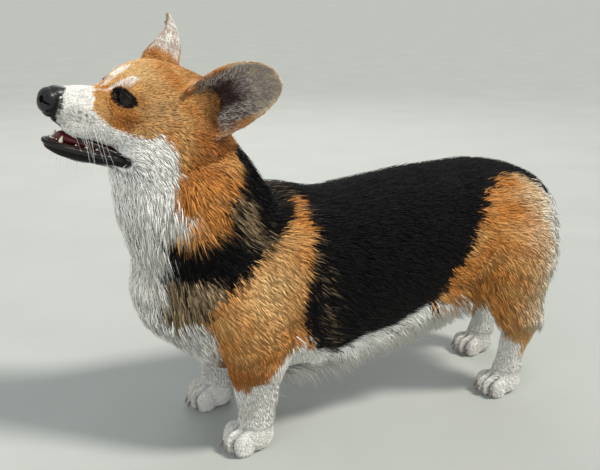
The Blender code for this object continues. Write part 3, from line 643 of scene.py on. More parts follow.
# The coat in each zone: (length of a tuft, its width, depth of the coat, droop, size of its clumps)
COAT = {
    "trunk": (0.021, 0.00112, 0.0058, 0.00, 0.0060),
    "nape": (0.026, 0.00132, 0.0068, 0.00, 0.0080),
    "shoulder": (0.022, 0.00120, 0.0052, 0.00, 0.0065),
    "bib": (0.038, 0.00140, 0.0090, 0.05, 0.0100),
    "belly": (0.050, 0.00195, 0.0070, 0.62, 0.0110),
    "thigh": (0.024, 0.00122, 0.0058, 0.00, 0.0065),
    "breech": (0.036, 0.00132, 0.0095, 0.10, 0.0110),
    "arm": (0.016, 0.00115, 0.0036, 0.00, 0.0050),
    "shank": (0.0115, 0.00100, 0.0021, 0.00, 0.0040),
    "feather": (0.026, 0.00130, 0.0055, 0.14, 0.0080),
    "paw": (0.0052, 0.00080, 0.0010, 0.00, 0.0030),
    "skull": (0.0090, 0.00086, 0.0022, 0.00, 0.0040),
    "cheek": (0.0160, 0.00100, 0.0042, 0.00, 0.0060),
    "throat": (0.024, 0.00132, 0.0058, 0.04, 0.0075),
    "face": (0.0058, 0.00075, 0.0015, 0.00, 0.0030),
    "lids": (0.0034, 0.00065, 0.0008, 0.00, 0.0020),
    "muzzle": (0.0044, 0.00070, 0.0010, 0.00, 0.0024),
    "ear_back": (0.0062, 0.00082, 0.0007, 0.00, 0.0030),
    "ear_cup": (0.0090, 0.00080, 0.0010, 0.03, 0.0035),
}


def above_neck(points):
    """Signed height above the plane where the head meets the neck."""
    normal = np.array((-math.sin(NECK_TILT), 0, math.cos(NECK_TILT)))
    return (points - np.array(NECK_PLANE)) @ normal


def zones(points, normals, ears):
    """(zone, share) in the order in which each covers the ones before it."""
    x, y, z = points.T
    hx, _, hz = to_head(points).T
    side = np.abs(y)
    head = smoothstep(-0.016, 0.012, above_neck(points))
    share, _, _, inner = ears
    leg = smoothstep(0.118, 0.090, z) * smoothstep(0.022, 0.034, side)
    rear_leg = leg * smoothstep(0.10, 0.12, x)
    neck = smoothstep(-0.115, -0.150, x) * smoothstep(0.215, 0.255, z)
    front = smoothstep(-0.196, -0.226, x + 0.25 * np.maximum(0, 0.18 - z))
    under = smoothstep(0.12, -0.45, normals[:, 2]) * smoothstep(0.175, 0.160, z)
    under = under * smoothstep(0.000, 0.010, -edge_distance(x, z, SADDLE)) * smoothstep(-0.20, -0.17, x)
    back = smoothstep(0.20, 0.75, normals[:, 0]) * smoothstep(0.16, 0.20, x) * smoothstep(0.088, 0.108, z)
    behind = smoothstep(0.15, 0.70, normals[:, 0]) * smoothstep(0.056, 0.074, z) * smoothstep(-0.02, -0.06, x)
    shoulder = smoothstep(-0.08, -0.11, x) * smoothstep(0.25, 0.22, z) * smoothstep(0.03, 0.06, side)
    arm = smoothstep(0.150, 0.120, z) * smoothstep(0.055, 0.070, side) * smoothstep(-0.08, -0.10, x)
    return [
        ("trunk", np.ones(len(points))),
        ("nape", neck),
        ("shoulder", shoulder),
        ("thigh", smoothstep(0.09, 0.14, x) * smoothstep(0.26, 0.235, z)),
        ("belly", under * (1 - rear_leg)),
        ("bib", front * (1 - 0.6 * under)),
        ("arm", arm),
        ("breech", back * smoothstep(0.262, 0.245, z)),
        ("shank", leg),
        ("feather", behind * leg * smoothstep(-0.05, -0.09, x)),
        ("paw", smoothstep(0.040, 0.030, z)),
        ("skull", head),
        ("cheek", head * smoothstep(0.010, -0.022, hx) * smoothstep(0.004, -0.020, hz)),
        ("throat", head * smoothstep(-0.044, -0.064, hz) * smoothstep(0.030, -0.010, hx)),
        ("face", head * smoothstep(-0.010, 0.020, hx) * smoothstep(-0.075, -0.060, hz)),
        ("muzzle", head * smoothstep(MUZZLE_START, 0.042, hx)),
        ("lids", smoothstep(1.35, 1.05, eye_rim(points, 0.0022, 0.0022))),
        ("ear_back", share),
        ("ear_cup", share * inner),
    ]


def coat_values(found):
    """Length, width, depth, droop and clump size at each point, blended from its zones."""
    total = None
    for name, share in found:
        row = np.array(COAT[name])
        total = np.tile(row, (len(share), 1)) if total is None else total + (row - total) * share[:, None]
    return total.T


# Lie of the coat


def lie_field(points, normals, found, ears):
    """The way the hair points at each place, before it is laid on the surface."""
    _, y, z = points.T
    h = to_head(points)
    share = dict(found)
    side = np.sign(y)
    flank = smoothstep(0.85, 0.15, np.abs(normals[:, 2]))
    zero = np.zeros(len(points))
    lie = np.stack([1 + zero, zero, -0.05 - 0.52 * flank], 1)

    def toward(direction, amount):
        nonlocal lie
        direction = np.array(direction, float) * np.ones((len(points), 1))
        lie = lie + (unit(direction) - lie) * amount[:, None]

    toward((0.62, 0, -0.80), share["nape"])
    toward((0.70, 0, -0.76), share["shoulder"])
    fall = smoothstep(0.25, 0.17, z)
    toward(np.stack([1 - 0.45 * fall, zero, -0.10 - 0.75 * fall], 1), share["thigh"])
    toward(np.stack([0.50 + zero, 0.12 * side, -0.90 + zero], 1), share["belly"])
    toward(np.stack([0.10 + zero, 0.10 * side, -1 + zero], 1), share["bib"])
    toward((0.30, 0, -1), share["arm"])
    toward(np.stack([0.40 + zero, 0.12 * side, -1 + zero], 1), share["breech"])
    toward((0.16, 0, -1), share["shank"])
    toward((0.50, 0, -1), share["feather"])
    toward((-0.75, 0, -0.55), share["paw"])

    back = HEAD_TURN @ np.array([-1.0, 0, 0])
    over = HEAD_TURN @ np.array([0, 0, 1.0])
    toward(back + 0.10 * over, share["skull"])
    toward(back - 0.75 * over, share["cheek"])
    toward(0.6 * back - 1.0 * over, share["throat"])
    toward(back - 0.12 * over, share["face"])
    low = smoothstep(-0.004, -0.026, h[:, 2])[:, None]
    toward(back - 0.45 * over * low, share["muzzle"])

    # Hair leaves the eyes on all sides.
    for eye in (-1, 1):
        away = h - np.array((EYE_CENTRE[0] + 0.004, EYE_CENTRE[1] * eye, EYE_CENTRE[2]))
        near = smoothstep(0.021, 0.011, np.linalg.norm(away, axis=1)) * share["skull"]
        toward(0.5 * back + 1.3 * unit(away) @ HEAD_TURN.T, near)

    on_ear, along_ear, over_ear, inner = ears
    for ear_side in (LEFT, RIGHT):
        _, along, across, _, _ = (np.array(v) for v in ear_frame(ear_side))
        here = on_ear * (y * ear_side > 0)
        toward(HEAD_TURN @ along, here)
        spread = (np.clip(over_ear / 0.02, -1, 1) * smoothstep(1.0, 0.6, along_ear))[:, None]
        toward(HEAD_TURN @ along * 0.8 + spread * (HEAD_TURN @ across), here * inner)
    return lie


# Markings of a tricolour coat, in linear light

WHITE = np.array((0.84, 0.825, 0.78))
CREAM = np.array((0.66, 0.54, 0.36))
ORANGE = np.array((0.56, 0.235, 0.058))
GOLD = np.array((0.62, 0.345, 0.125))
SAND = np.array((0.80, 0.54, 0.25))
RUST = np.array((0.30, 0.105, 0.026))
BLACK = np.array((0.0040, 0.0037, 0.0040))
GREY = np.array((0.30, 0.29, 0.27))
BEIGE = np.array((0.46, 0.33, 0.19))

MOUTH_RED = np.array((0.030, 0.006, 0.006))
SOLE_GREY = np.array((0.030, 0.022, 0.020))
# Painted shade for the clefts between the toes
CLEFT_SHADE = np.array((0.10, 0.065, 0.055))
EAR_GREY = np.array((0.40, 0.34, 0.29))
# Painted shade for the low part of the ear's cup and its hollow
EAR_CUP_SHADE = np.array((0.035, 0.012, 0.011))

# Seams between the markings in the side view, as (x, z), from the back or the nape downwards
NAPE_SEAM = [(-0.165, 0.336), (-0.167, 0.317), (-0.177, 0.297), (-0.183, 0.279), (-0.193, 0.263)]
SHOULDER_SEAM = [(-0.119, 0.251), (-0.140, 0.240), (-0.160, 0.226), (-0.175, 0.211), (-0.190, 0.192)]
ELBOW_SEAM = [(-0.102, 0.232), (-0.109, 0.206), (-0.112, 0.182)]
THIGH_SEAM = [
    (0.222, 0.254), (0.200, 0.265), (0.176, 0.271), (0.152, 0.268), (0.127, 0.257), (0.110, 0.242),
    (0.098, 0.225), (0.087, 0.206), (0.064, 0.185),
]
# The rest of each marking's outline. The saddle runs over the back, from the nape to the tail.
SHOULDER = [(-0.100, 0.266)] + SHOULDER_SEAM + [
    (-0.204, 0.180), (-0.199, 0.161), (-0.192, 0.135), (-0.186, 0.110), (-0.178, 0.078), (-0.162, 0.092),
    (-0.148, 0.105), (-0.142, 0.118), (-0.130, 0.128), (-0.119, 0.137), (-0.115, 0.156),
] + ELBOW_SEAM[::-1]
COLLAR = [
    (-0.203, 0.256), (-0.225, 0.258), (-0.232, 0.240), (-0.237, 0.222), (-0.237, 0.200), (-0.235, 0.186),
    (-0.229, 0.170), (-0.217, 0.174), (-0.204, 0.181),
]
FLANK = [
    (-0.110, 0.160), (-0.100, 0.138), (-0.088, 0.118), (-0.070, 0.112), (-0.058, 0.118), (-0.036, 0.125),
    (-0.012, 0.131), (0.012, 0.138), (0.033, 0.151), (0.050, 0.167),
]
SADDLE = (
    [(-0.150, 0.400)] + NAPE_SEAM + COLLAR + SHOULDER_SEAM[::-1] + [(-0.102, 0.264)] + ELBOW_SEAM
    + FLANK + THIGH_SEAM[::-1] + [(0.262, 0.238), (0.300, 0.245), (0.300, 0.400)]
)
THIGH = [(0.046, 0.164)] + THIGH_SEAM[::-1] + [
    (0.300, 0.236), (0.300, 0.058), (0.200, 0.056), (0.186, 0.078), (0.160, 0.098), (0.128, 0.122),
    (0.104, 0.150), (0.080, 0.160),
]
NECK_STRIP = [
    (-0.236, 0.372), (-0.230, 0.350), (-0.225, 0.334), (-0.221, 0.317), (-0.223, 0.300), (-0.219, 0.286),
    (-0.211, 0.281), (-0.217, 0.270), (-0.226, 0.259), (-0.203, 0.255),
] + NAPE_SEAM[::-1] + [(-0.155, 0.400), (-0.236, 0.400)]
# White of the face, as (x, z) in the head's side view
WHITE_FACE = [
    (0.120, 0.040), (0.038, 0.040), (0.034, 0.009), (0.043, 0.002), (0.044, -0.008), (0.034, -0.018),
    (0.020, -0.022), (0.000, -0.023), (-0.008, -0.021), (-0.018, -0.015), (-0.025, -0.019), (-0.032, -0.030),
    (-0.039, -0.045), (-0.043, -0.066), (-0.050, -0.080), (-0.058, -0.130), (0.120, -0.130),
]


def soft(distance, width, chance):
    """Share from 0 to 1 across an edge, sharpened by each tuft's own chance draw where there is one."""
    share = smoothstep(-width, width, distance)
    if chance is None:
        return share
    return smoothstep(-0.12, 0.12, share * 1.24 - 0.12 - chance)


def painted_root_shade(colour):
    """A coat's colour down between the tufts, darkened as painted shade: darker in dark fur, and about the same
    in white.
    """
    return colour * (0.55 + 0.45 * smoothstep(0.0, 0.7, colour.mean(axis=1, keepdims=True)))


def body_colour(points, normals, chance):
    """Markings of the body: (colour at the root, colour at the tip)."""
    x, y, z = points.T
    count = len(x)
    waver = 0.0030 * ripple(points, 0.05, 21) + 0.0016 * ripple(points, 0.016, 22)
    white = mix(plain(WHITE, count), CREAM, 0.22 * smoothstep(0.2, 1.4, ripple(points, 0.045, 23)))
    orange = mix(plain(ORANGE, count), GOLD, 0.75 * smoothstep(-0.6, 0.9, ripple(points, 0.040, 24)))
    orange = mix(orange, RUST, 0.45 * smoothstep(0.6, 1.3, ripple(points, 0.030, 25)))

    flat = np.where(np.abs(y) < 0.035, 0.035 - np.abs(y), 0) * 0.6
    saddle, shoulder, thigh, strip = (edge_distance(x, z, o) for o in (SADDLE, SHOULDER, THIGH, NECK_STRIP))
    inner_leg = smoothstep(0.1, -0.4, normals[:, 1] * np.sign(y)) * smoothstep(0.20, 0.17, z)
    ginger = np.maximum.reduce([shoulder - flat, thigh - 0.03 * inner_leg - flat, strip])
    seam = 0.009 * smoothstep(-0.016, -0.006, np.minimum(ginger, saddle))
    marked = soft(np.maximum(ginger, saddle) + 0.002 + seam + waver, 0.005, chance)
    black = soft(saddle - ginger + waver * 2, 0.011, chance)

    # Painted light on the foreleg: a painted highlight of sand on the middle of the shoulder, and painted shade
    # of rust towards the foot of the arm.
    low_arm_shade = smoothstep(0.150, 0.105, z) * smoothstep(-0.05, -0.08, x)
    shoulder_highlight = bell(x, -0.150, 0.030) * bell(z, 0.198, 0.040)
    arm = mix(mix(orange, SAND, 0.85 * shoulder_highlight), RUST * 1.2, 0.65 * low_arm_shade)
    deep = smoothstep(-0.165, -0.205, x) * smoothstep(0.27, 0.30, z)
    arm = mix(arm, RUST * 1.25, 0.55 * deep * smoothstep(-0.2, 1.0, ripple(points * (1, 1, 0.5), 0.03, 26)))
    rear = smoothstep(0.152, 0.212, x + waver * 2)
    low_leg = smoothstep(0.105, 0.085, z)
    rump = mix(orange, CREAM * 1.15, 0.9 * rear)
    rump = mix(rump, WHITE, smoothstep(0.188, 0.226, x + waver) * (1 - low_leg))
    rump = mix(rump, orange, low_leg * 0.8 * smoothstep(0.5, -0.2, normals[:, 0]))
    fair = mix(arm, rump, smoothstep(0.0, 0.02, x))

    beige = smoothstep(0.236, 0.208, z + 0.3 * (x + 0.22)) * smoothstep(-0.180, -0.196, x)
    nape = bell(x + 0.55 * (z - 0.27), -0.168, 0.022) * smoothstep(0.21, 0.25, z)
    behind = bell(x + 0.20 * (z - 0.2), -0.092, 0.017) * smoothstep(0.10, 0.13, z)
    pale = np.clip(0.80 * nape + 0.45 * behind + 0.9 * beige, 0, 1)
    streak = pale * 0.5
    if chance is not None:
        grain = 0.07 * ripple(points, 0.012, 27) + 0.45 * (chance - 0.3)
        streak = smoothstep(0.52, 0.66, 0.12 + pale * 0.55 + grain)
    dark = mix(plain(BLACK, count), BEIGE, 0.8 * beige * streak)
    dark_tip = mix(plain(BLACK * 1.5, count), BEIGE, streak * np.clip(0.16 + pale, 0, 1))

    root = mix(white, mix(fair, dark, black), marked)
    tip = mix(white, mix(fair * 1.06, dark_tip, black), marked)
    return root, tip


def face_markings(x, y, z, waver, chance):
    """Share of white: the muzzle and cheeks, a patch and a stripe between the eyes, and the brows."""
    side = np.abs(y)
    white = soft(edge_distance(x, z, WHITE_FACE) + waver, 0.0032, chance)
    patch = soft(1 - np.hypot((x - 0.014) / 0.0085, (y + 0.005) / 0.008) + waver * 60, 0.35, chance)
    patch = patch * smoothstep(0.010, 0.022, z)
    stripe = soft(0.0026 - side + waver, 0.0014, chance)
    stripe = stripe * smoothstep(0.012, 0.018, x) * smoothstep(-0.01, 0.0, z)
    brow = soft(1 - np.hypot((x - 0.0125) / 0.0055, (side - 0.0225) / 0.0050) + waver * 60, 0.4, chance)
    brow = brow * smoothstep(0.014, 0.020, z) * 0.7
    t = np.clip((0.036 - x) / 0.022, 0, 1)
    line = soft(0.0014 - np.abs(side - (0.007 + 0.014 * t)) + waver * 0.4, 0.0009, chance)
    line = line * smoothstep(0.002, 0.010, z) * smoothstep(0.012, 0.017, x) * 0.8
    return np.maximum.reduce([white, patch * 0.85, stripe * 0.6, brow, line])


def muzzle_white(points, x, side, z):
    """The white of the face, greyed as painted shade on the whisker pads, with dark specks and a dot at each
    whisker.
    """
    pad = smoothstep(0.030, 0.050, x) * smoothstep(-0.004, -0.020, z)
    # Painted shade greys the lower whisker pads.
    snow = mix(plain(WHITE * 1.05, len(x)), GREY, 0.28 * pad)
    snow = mix(snow, BLACK * 6, 0.35 * pad * smoothstep(0.5, 1.0, ripple(points, 0.0045, 35)))
    dots = np.full(len(x), 1.0)
    for (rx, ry, rz), _, _ in whisker_roots():
        dots = np.minimum(dots, (x - rx) ** 2 + (side - ry) ** 2 + (z - rz) ** 2)
    return mix(snow, BLACK * 2, smoothstep(0.0019, 0.0009, np.sqrt(dots)) * pad)


def nose_distance(h):
    """1 at the edge of the nose's black skin, and less within it."""
    return np.linalg.norm((h - NOSE_SKIN[0]) / NOSE_SKIN[1], axis=1)


def head_colour(points, chance):
    """Markings of the head: (colour at the root, colour at the tip)."""
    h = to_head(points)
    x, y, z = h.T
    side = np.abs(y)
    waver = 0.0018 * ripple(points, 0.022, 31) + 0.0010 * ripple(points, 0.008, 32)
    tan = mix(plain(GOLD, len(x)), ORANGE, smoothstep(-0.4, 0.8, ripple(points, 0.025, 33)))
    # A painted highlight: lighter sand over the crown, on the top of the head.
    tan = mix(tan, SAND * 0.9, 0.8 * smoothstep(-0.028, 0.010, x) * smoothstep(0.016, 0.030, z))
    behind = smoothstep(-0.030, -0.055, x)
    # Deeper rust behind the cheek as a marking, and darker still below the ear as the ear's painted shadow.
    tan = mix(tan, RUST * 1.15, behind * (0.50 + 0.38 * smoothstep(0.012, -0.025, z)))
    temple = bell(x, -0.016, 0.020) * bell(z, 0.004, 0.022) * smoothstep(0.026, 0.040, side)
    tip = mix(tan, BLACK * 4, 0.55 * temple * smoothstep(0.0, 0.8, ripple(points, 0.006, 34)))
    tan = mix(tan, CREAM * 0.75, 0.5 * temple)
    below_eye = bell(x, 0.012, 0.014) * bell(z, -0.011, 0.0075) * smoothstep(0.016, 0.026, side)

    white = face_markings(x, y, z, waver, chance)
    snow = muzzle_white(points, x, side, z)
    tear = bell(x, 0.0262, 0.0014) * smoothstep(-0.013, -0.006, z) * smoothstep(0.008, 0.003, z)
    lids = smoothstep(1.16, 1.0, eye_rim(points, 0.0020, 0.0006))
    dark = np.maximum.reduce([lids, 0.6 * tear, smoothstep(1.12, 0.98, nose_distance(h) + 20 * waver)])
    found = []
    for colour in (tan, tip):
        colour = mix(colour, RUST * 0.9, 0.75 * below_eye)
        colour = mix(colour, snow, white)
        colour = mix(colour, BLACK * 1.3, dark)
        found.append(mix(colour, BLACK * 1.3, lip_share(h)))
    return found


# Middle and radii of the black skin round the nose, in the head's frame
NOSE_SKIN = (np.array((0.0745, 0.0, -0.0135)), np.array((0.0150, 0.0150, 0.0165)))
# Half the width of the muzzle at the whisker pads, by how far ahead
PAD_AHEAD = [0.018, 0.038, 0.055, 0.067]
PAD_HALF = [0.0300, 0.0245, 0.0205, 0.0165]


def whisker_roots():
    """The rows of whiskers on a pad, on the dog's left: (root, aim, length), in the head's frame."""
    found = []
    for row in range(4):
        for i in range(5):
            x = 0.060 - 0.0062 * i - 0.0015 * row
            z = -0.013 - 0.0052 * row - 0.0008 * i
            y = np.interp(x, PAD_AHEAD, PAD_HALF) * (1 - 0.04 * row)
            found.append(((x, y, z), (-0.35, 0.55, -0.85 - 0.1 * row), 0.024 + 0.005 * i))
    return found


def jaw_half(x):
    rows = np.array(LOWER_JAW)
    return np.interp(x, rows[:, 0], rows[:, 3])


def lip_share(h):
    """Where the bare black skin of the lower lip is, in the head's frame."""
    x, y, z = h.T
    bottom = -0.0655 + 0.0040 * smoothstep(0.030, 0.004, x)
    band = smoothstep(bottom, bottom + 0.002, z) * smoothstep(-0.0455, -0.0475, z)
    corner = smoothstep(1.1, 0.9, np.hypot(np.minimum(x - 0.014, 0) / 0.016, (z + 0.0525) / 0.0105))
    reach = 0.004 + 0.012 * smoothstep(0.022, 0.012, x)
    return band * np.where(x < 0.014, corner, 1.0) * (np.abs(y) < jaw_half(x) + reach)


def ear_half(t):
    """Half the width of an ear at the share t of its length."""
    profile = np.array(EAR_PROFILE)
    return np.interp(t, profile[:, 0], profile[:, 1])


def ear_colour(points, ears, chance):
    _, t, over, inner = ears
    count = len(points)
    back = mix(plain(ORANGE, count), RUST, 0.5 * smoothstep(-0.5, 1, ripple(points, 0.02, 41)))
    back = mix(back, GOLD, smoothstep(0.45, 0.95, t))
    back = mix(back, WHITE, 0.75 * smoothstep(0.84, 0.98, t + 0.03 * ripple(points, 0.01, 43)))
    far = smoothstep(0.10, 0.45, over / 0.028) * (points[:, 1] > 0) * smoothstep(0.05, 0.2, t)
    hoary = mix(plain(EAR_GREY * 1.2, count), WHITE, smoothstep(-0.6, 1, ripple(points, 0.008, 45)))
    back = mix(back, hoary, far)
    cup = mix(plain(EAR_GREY, count), CREAM, 0.6 * smoothstep(0, 1, ripple(points, 0.010, 42)))
    streak = 0.45 if chance is None else smoothstep(0.42, 0.58, chance)
    # Low in the cup, dark streaks of painted shade lie between the pale hairs, and the hollow at its foot is
    # painted shade.
    low = smoothstep(0.80, 0.30, t)
    cup = mix(cup, WHITE * 0.85, 0.45 * low * (1 - streak))
    cup = mix(cup, EAR_CUP_SHADE * 2, 0.85 * low * streak)
    hollow = smoothstep(0.52, 0.26, t) * smoothstep(0.016, 0.007, np.abs(over + 0.002))
    cup = mix(cup, EAR_CUP_SHADE, 0.94 * hollow)
    margin = smoothstep(0.74, 0.88, np.abs(over) / ear_half(t)) * (0.25 + 0.75 * smoothstep(0.10, 0.40, t))
    margin = np.maximum(margin, smoothstep(0.88, 0.97, t))
    cup = mix(cup, mix(plain(ORANGE, count), CREAM * 1.25, smoothstep(0.30, 0.65, t)), margin)
    return mix(back, cup, inner)


def coat_colour(points, normals, ears, chance=None):
    """The markings at each point, the same for the skin and for the coat: (root colour, tip colour)."""
    head = smoothstep(-0.004, 0.004, above_neck(points))
    of_ear = ear_colour(points, ears, chance)
    cleft = toe_gap(points)
    found = []
    for of_body, of_head in zip(body_colour(points, normals, chance), head_colour(points, chance)):
        colour = mix(of_body, of_head, head)
        # Painted shade in the clefts between the toes.
        colour = mix(colour, CLEFT_SHADE, 0.85 * cleft)
        found.append(mix(colour, of_ear, ears[0]))
    return found


def bare_share(points):
    """Where no fur grows: eyes, lips, nose, the mouth's inside and the soles."""
    h = to_head(points)
    bare = np.maximum(lip_share(h), (eye_rim(points, 0.0006, 0.0003) < 1) * 1.0)
    bare = np.maximum(bare, (nose_distance(h) < 1) * 1.0)
    roof = -0.0420 + 0.0135 * smoothstep(0.02, 0.07, h[:, 0])
    inside = (np.abs(h[:, 1]) < jaw_half(h[:, 0]) - 0.002) & (h[:, 0] > -0.03)
    inside &= (h[:, 2] > -0.056) & (h[:, 2] < roof)
    bare = np.maximum(bare, inside * 1.0)
    return np.maximum(bare, smoothstep(0.0035, 0.0020, points[:, 2]))


# Materials


def material(name, roughness, specular=0.5, coat=0.0, coat_roughness=0.1):
    found = bpy.data.materials.new(name)
    found.use_nodes = True
    nodes = found.node_tree.nodes
    shader = nodes["Principled BSDF"]
    shader.inputs["Roughness"].default_value = roughness
    shader.inputs["Specular IOR Level"].default_value = specular
    shader.inputs["Coat Weight"].default_value = coat
    shader.inputs["Coat Roughness"].default_value = coat_roughness
    return found, nodes, found.node_tree.links, shader


def add_noise(nodes, links, scale, detail):
    coordinates = nodes.new("ShaderNodeTexCoord")
    noise = nodes.new("ShaderNodeTexNoise")
    noise.inputs["Scale"].default_value = scale
    noise.inputs["Detail"].default_value = detail
    links.new(coordinates.outputs["Object"], noise.inputs["Vector"])
    return noise


def add_bump(nodes, links, shader, height, strength, distance):
    bump = nodes.new("ShaderNodeBump")
    bump.inputs["Strength"].default_value = strength
    bump.inputs["Distance"].default_value = distance
    links.new(height, bump.inputs["Height"])
    links.new(bump.outputs["Normal"], shader.inputs["Normal"])


def tinted(nodes, links, source, noise, low, high):
    """Multiplies a colour by a number between low and high that follows the noise."""
    ramp = nodes.new("ShaderNodeMapRange")
    ramp.inputs["From Min"].default_value = 0.3
    ramp.inputs["From Max"].default_value = 0.7
    ramp.inputs["To Min"].default_value = low
    ramp.inputs["To Max"].default_value = high
    links.new(noise.outputs["Fac"], ramp.inputs["Value"])
    scale = nodes.new("ShaderNodeVectorMath")
    scale.operation = "SCALE"
    links.new(source, scale.inputs[0])
    links.new(ramp.outputs["Result"], scale.inputs["Scale"])
    return scale.outputs["Vector"]


def fur(name, roughness, specular, detail, low, high, bump, distance):
    """Fur, or the skin under it: the markings come from the mesh, and fine noise varies them."""
    found, nodes, links, shader = material(name, roughness, specular)
    marking = nodes.new("ShaderNodeVertexColor")
    marking.layer_name = "Coat"
    noise = add_noise(nodes, links, 700, detail)
    links.new(tinted(nodes, links, marking.outputs["Color"], noise, low, high), shader.inputs["Base Color"])
    add_bump(nodes, links, shader, noise.outputs["Fac"], bump, distance)
    return found


def painted(name, colour, roughness, scale, low, high, bump=None, detail=4, **rest):
    """One colour, varied by noise between low and high times its value, and a bump of the same grain."""
    found, nodes, links, shader = material(name, roughness, **rest)
    noise = add_noise(nodes, links, scale, detail)
    base = nodes.new("ShaderNodeRGB")
    base.outputs[0].default_value = (*colour, 1)
    links.new(tinted(nodes, links, base.outputs[0], noise, low, high), shader.inputs["Base Color"])
    if bump:
        add_bump(nodes, links, shader, noise.outputs["Fac"], bump, 0.0005)
    return found


def nose_material():
    """Nose leather: small raised cells with fine creases between them in painted shade, and moist."""
    found, nodes, links, shader = material("nose_leather", 0.40, 0.45, 0.15, 0.2)
    coordinates = nodes.new("ShaderNodeTexCoord")
    cells = nodes.new("ShaderNodeTexVoronoi")
    cells.feature = "DISTANCE_TO_EDGE"
    cells.inputs["Scale"].default_value = 750
    links.new(coordinates.outputs["Object"], cells.inputs["Vector"])
    # Darker towards the edges of the cells: painted shade in the creases.
    ramp = nodes.new("ShaderNodeValToRGB")
    ramp.color_ramp.elements[0].color = (0.0010, 0.0010, 0.0010, 1)
    ramp.color_ramp.elements[1].color = (0.0060, 0.0058, 0.0062, 1)
    ramp.color_ramp.elements[1].position = 0.25
    links.new(cells.outputs["Distance"], ramp.inputs["Fac"])
    links.new(ramp.outputs["Color"], shader.inputs["Base Color"])
    add_bump(nodes, links, shader, cells.outputs["Distance"], 0.35, 0.0004)
    return found


# Colours of an eyeball by the angle from its gaze, where 1 is a quarter turn: pupil, iris, dark rim and white
EYE_RINGS = [
    (0.00, (0.0004, 0.0004, 0.0004)),
    (0.26, (0.0004, 0.0004, 0.0004)),
    (0.31, (0.010, 0.004, 0.0015)),
    (0.50, (0.014, 0.0055, 0.002)),
    (0.60, (0.002, 0.0015, 0.0015)),
    (0.72, (0.04, 0.03, 0.028)),
    (1.00, (0.10, 0.08, 0.07)),
]


def eye_material():
    """An eyeball, with its rings by the angle that the mesh stores, and fine noise over them."""
    found, nodes, links, shader = material("eye", 0.04, specular=0.32)
    angle = nodes.new("ShaderNodeAttribute")
    angle.attribute_name = "Gaze"
    ramp = nodes.new("ShaderNodeValToRGB")
    elements = ramp.color_ramp.elements
    while len(elements) < len(EYE_RINGS):
        elements.new(0.5)
    for element, (position, colour) in zip(elements, EYE_RINGS):
        element.position = position
        element.color = (*colour, 1)
    links.new(angle.outputs["Fac"], ramp.inputs["Fac"])
    noise = add_noise(nodes, links, 1400, 3)
    links.new(tinted(nodes, links, ramp.outputs["Color"], noise, 0.7, 1.3), shader.inputs["Base Color"])
    return found


# The skin


def paint(data, colours):
    """Stores a colour for each vertex under the name that the materials read."""
    layer = data.color_attributes.new("Coat", "FLOAT_COLOR", "POINT")
    rows = np.ones((len(data.vertices), 4), np.float32)
    rows[:, :3] = colours
    layer.data.foreach_set("color", rows.ravel())
    data.color_attributes.active_color = layer


def laplacian(data, points, rounds, amount):
    """Evens a surface out, each vertex towards the middle of its neighbours."""
    a, b = rows_of(data.edges, "vertices", 2, np.int32).T
    count = np.bincount(a, minlength=len(points)) + np.bincount(b, minlength=len(points))
    for _ in range(rounds):
        total = np.zeros_like(points)
        for axis, row in enumerate(points.T):
            total[:, axis] = np.bincount(a, row[b], len(row)) + np.bincount(b, row[a], len(row))
        points = points + (total / np.maximum(count, 1)[:, None] - points) * amount
    return points


def sink_eyes(points):
    """Draws the skin in over each eyeball, so that the ball shows between the lids."""
    for side in (-1, 1):
        e = in_eye_frame(points, side)
        rim = np.hypot(e[:, 1] / EYE_OPENING[0], e[:, 2] / EYE_OPENING[1])
        reach = np.linalg.norm(e, axis=1)
        inside = (e[:, 0] > 0) & (reach < 0.02)
        over = inside & (rim < 1.0)
        around = inside & (rim >= 1.0) & (rim < 1.9)
        wanted = np.where(over, EYE_RADIUS - 0.0022, reach)
        lid = EYE_RADIUS + 0.0009
        wanted = np.where(around & (reach < lid), lid, wanted)
        e = e * (wanted / np.maximum(reach, 1e-6))[:, None]
        forward = np.array(eye_frame(side))
        points = np.where((over | around)[:, None], e @ forward[:3, :3].T + forward[:3, 3], points)
    return points


def make_skin():
    """One closed skin from nose to paws, inside the solids by the depth of the coat."""
    ear_forms = {side: ear(side) for side in (LEFT, RIGHT)}
    reader = Ears(ear_forms)
    skin = fused("skin", body_forms() + head_forms() + list(ear_forms.values()), SKIN_CELL, 4)
    points, normals = points_of(skin.data), normals_of(skin.data)
    on_ears = reader.read(points, normals)
    depth = coat_values(zones(points, normals, on_ears))[2]
    points = points - normals * (depth + 0.0030 * toe_gap(points))[:, None]
    points = laplacian(skin.data, points, 2, 0.35)
    points = sink_eyes(points)
    points[:, 2] = np.maximum(points[:, 2], 0.0)
    set_points(skin.data, points)
    for rows in (LIP_SLOT, MOUTH_HOLLOW):
        cut(skin, limb("hollow", rows, up=(0, 0, 1), sides=16, rings=14, at=HEAD, dome=0.4))
    return skin, reader


def paint_skin(skin, reader):
    points, normals = points_of(skin.data), normals_of(skin.data)
    on_ears = reader.read(points, normals)
    root, tip = coat_colour(points, normals, on_ears)
    # The skin under the coat gets the same painted shade as the roots of the tufts.
    colour = painted_root_shade(mix(root, tip, np.full(len(root), 0.35)))
    h = to_head(points)
    roof = -0.0400 + 0.0135 * smoothstep(0.02, 0.07, h[:, 0])
    within = smoothstep(-0.0010, -0.0035, np.abs(h[:, 1]) - jaw_half(h[:, 0]))
    within = within * smoothstep(-0.04, -0.03, h[:, 0])
    within = within * (h[:, 2] > -0.058) * (h[:, 2] < roof) * (h[:, 0] < 0.08)
    colour = mix(colour, MOUTH_RED, within)
    colour = mix(colour, BLACK, lip_share(h) * (1 - within))
    paint(skin.data, mix(colour, SOLE_GREY, smoothstep(0.004, 0.002, points[:, 2])))


# Tufts

